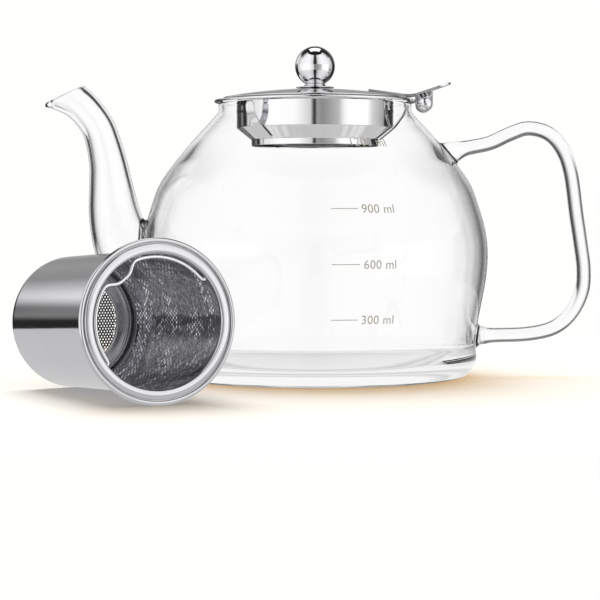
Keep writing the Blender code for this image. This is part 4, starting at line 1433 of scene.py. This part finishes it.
def make_world():
    """A white sweep behind, dark flags beside it, two soft boxes behind the camera and a panel overhead."""
    world = bpy.data.worlds.new("studio")
    world.use_nodes = True
    nodes = Nodes(world.node_tree)
    x, y, z = nodes.parts(nodes.add("TexCoord").outputs["Generated"])
    path = nodes.add("LightPath").outputs
    heading = nodes.plus(nodes.math("DIVIDE", nodes.math("ARCTAN2", x, y), 2 * math.pi), 0.5)
    rise = nodes.times(nodes.math("ARCSINE", z), 180 / math.pi)

    sweep = layered(nodes, rise, heading, SWEEP_BELOW, GLASS_LAYERS)
    mirror = layered(nodes, rise, heading, FLOOR_IN_MIRROR, MIRROR_LAYERS)
    panel = nodes.times(nodes.step(rise, *PANEL_RISE), nodes.step(y, *PANEL_BACK))
    panel = nodes.times(panel, nodes.step(nodes.math("ABSOLUTE", x), *PANEL_SIDE))
    mirror = nodes.blend(panel, mirror, tint(PANEL_LEVEL))

    light = nodes.blend(mirrored_part(nodes, path), sweep, mirror)
    light = nodes.blend(path["Is Diffuse Ray"], light, FILL_LIGHT)
    studio = nodes.add("Background", {"Color": light, "Strength": 1.0})
    seen = nodes.add("Background", {"Color": BACKDROP, "Strength": 1.0})
    mix = nodes.blend_shaders(path["Is Camera Ray"], studio, seen)
    nodes.add("OutputWorld", {"Surface": mix.outputs[0]})
    bpy.context.scene.world = world


def make_floor():
    """A pale round table. Mirrors see a painted glowing copy of it, greyer. Glass looks past it, except where
    the pot stands, where it sees a painted glowing floor. Both have painted shade rings under the pot's foot.
    """
    made, nodes = new_material("pale_floor")
    spot = nodes.place()
    grain = nodes.noise(spot, 4.0, 2.0)
    shade = nodes.ramp(grain, [(0.3, (0.935, 0.93, 0.915)), (0.7, (0.945, 0.94, 0.925))])
    pale = nodes.add("BsdfDiffuse", {"Color": shade})
    path = nodes.add("LightPath").outputs
    x, y, _ = nodes.parts(spot)
    reach = nodes.reach(x, y)
    along_ramp = nodes.times(reach, 10.0)
    # Painted light: glass and mirrors see a glowing floor with painted shade rings of the pot's foot, and
    # mirrors see it greyer.
    painted_glow_under_glass = nodes.add("Emission", {"Color": nodes.ramp(along_ramp, PAINTED_FLOOR_UNDER_GLASS)})
    painted_glow_in_mirrors = nodes.add("Emission", {"Color": nodes.ramp(along_ramp, PAINTED_FLOOR_IN_MIRRORS)})
    bent = nodes.blend_shaders(nodes.step(reach, *FOOT_RADII), painted_glow_under_glass, nodes.add("BsdfTransparent"))
    mix = nodes.blend_shaders(path["Is Transmission Ray"], pale, bent)
    mix = nodes.blend_shaders(mirrored_part(nodes, path), mix, painted_glow_in_mirrors)
    nodes.add("OutputMaterial", {"Surface": mix.outputs[0]})
    profile = [(reach, -FLOOR_DROP) for reach in (0, 120, FLOOR_REACH)]
    turned("floor", profile, made, steps=96, closed=False)


def make_sun():
    """One broad soft lamp overhead. It is cooler than the fill, so its shadow is warm."""
    data = bpy.data.lights.new("overhead", "SUN")
    data.energy = SUN_POWER
    data.angle = math.radians(SUN_SPREAD)
    data.color = SUN_COLOUR
    item = bpy.data.objects.new("overhead", data)
    item.rotation_euler = [math.radians(turn) for turn in SUN_TURN]
    item.visible_glossy = False
    item.visible_transmission = False
    bpy.context.scene.collection.objects.link(item)


def make_camera():
    data = bpy.data.cameras.new("camera")
    data.lens = CAMERA_LENS
    data.sensor_width = 36.0
    data.clip_start = 0.01
    item = bpy.data.objects.new("camera", data)
    place, target = Vector(CAMERA_PLACE), Vector(CAMERA_TARGET)
    item.location = place * MM
    item.rotation_euler = (target - place).to_track_quat("-Z", "Y").to_euler()
    bpy.context.scene.collection.objects.link(item)
    bpy.context.scene.camera = item


# ---------------------------------------------------------------- the whole


def stand_for(piece, body, slot, *nodes):
    """The piece rides on the body and replaces the CAD nodes. The slot is not used."""
    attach(piece, body)
    if nodes:
        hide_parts(*nodes)


def main():
    make_camera()
    make_world()
    make_floor()
    make_sun()

    steels = {name: steel(name, *look) for name, look in STEELS.items()}
    polished = steels["mirror_steel"]

    stand_for(make_glass(clear_glass()), "pot", "clear_glass", "glass_body", "spout", "handle")
    stand_for(make_scale(print_ink()), "pot", "clear_glass")

    stand_for(make_collar(polished), "lid_unit", "polished_steel", "lid_collar")
    for piece, node in make_clips(polished):
        stand_for(piece, "lid_unit", "polished_steel", node)
    stand_for(make_knuckle(polished), "lid_unit", "polished_steel", "hinge_knuckle")
    stand_for(make_pin(polished), "lid_unit", "polished_steel", "hinge_pin")

    stand_for(make_lid(polished), "lid", "polished_steel", "lid_plate")
    stand_for(make_lever(polished), "lid", "polished_steel", "thumb_lever")
    stand_for(make_ball(polished), "lid", "polished_steel", "knob_ball")
    stand_for(make_foot(polished), "lid", "polished_steel", "knob_foot")
    stand_for(make_screw(polished), "lid", "polished_steel", "knob_screw")

    matrix = infuser_matrix()
    cup = make_infuser_wall(steels["cup_steel"], slit_steel_with_painted_light(), matrix)
    stand_for(cup, "infuser", "satin_steel", "infuser_wall")
    stand_for(make_infuser_ring(steels["ring_steel_painted_shade"], matrix), "infuser", "satin_steel", "infuser_base")
    stand_for(make_sieve(steels["base_steel_painted_shade"], matrix), "infuser", "satin_steel")
    stand_for(make_infuser_rim(steels["rim_steel"], matrix), "infuser", "polished_steel", "infuser_rim")
    stand_for(make_bail(steels["drawn_wire"], matrix), "bail", "bright_wire", "infuser_bail")

    bpy.context.scene.view_settings.view_transform = "Standard"
    bpy.context.scene.cycles.max_bounces = LIGHT_BOUNCES
    bpy.context.scene.cycles.transmission_bounces = LIGHT_BOUNCES


main()
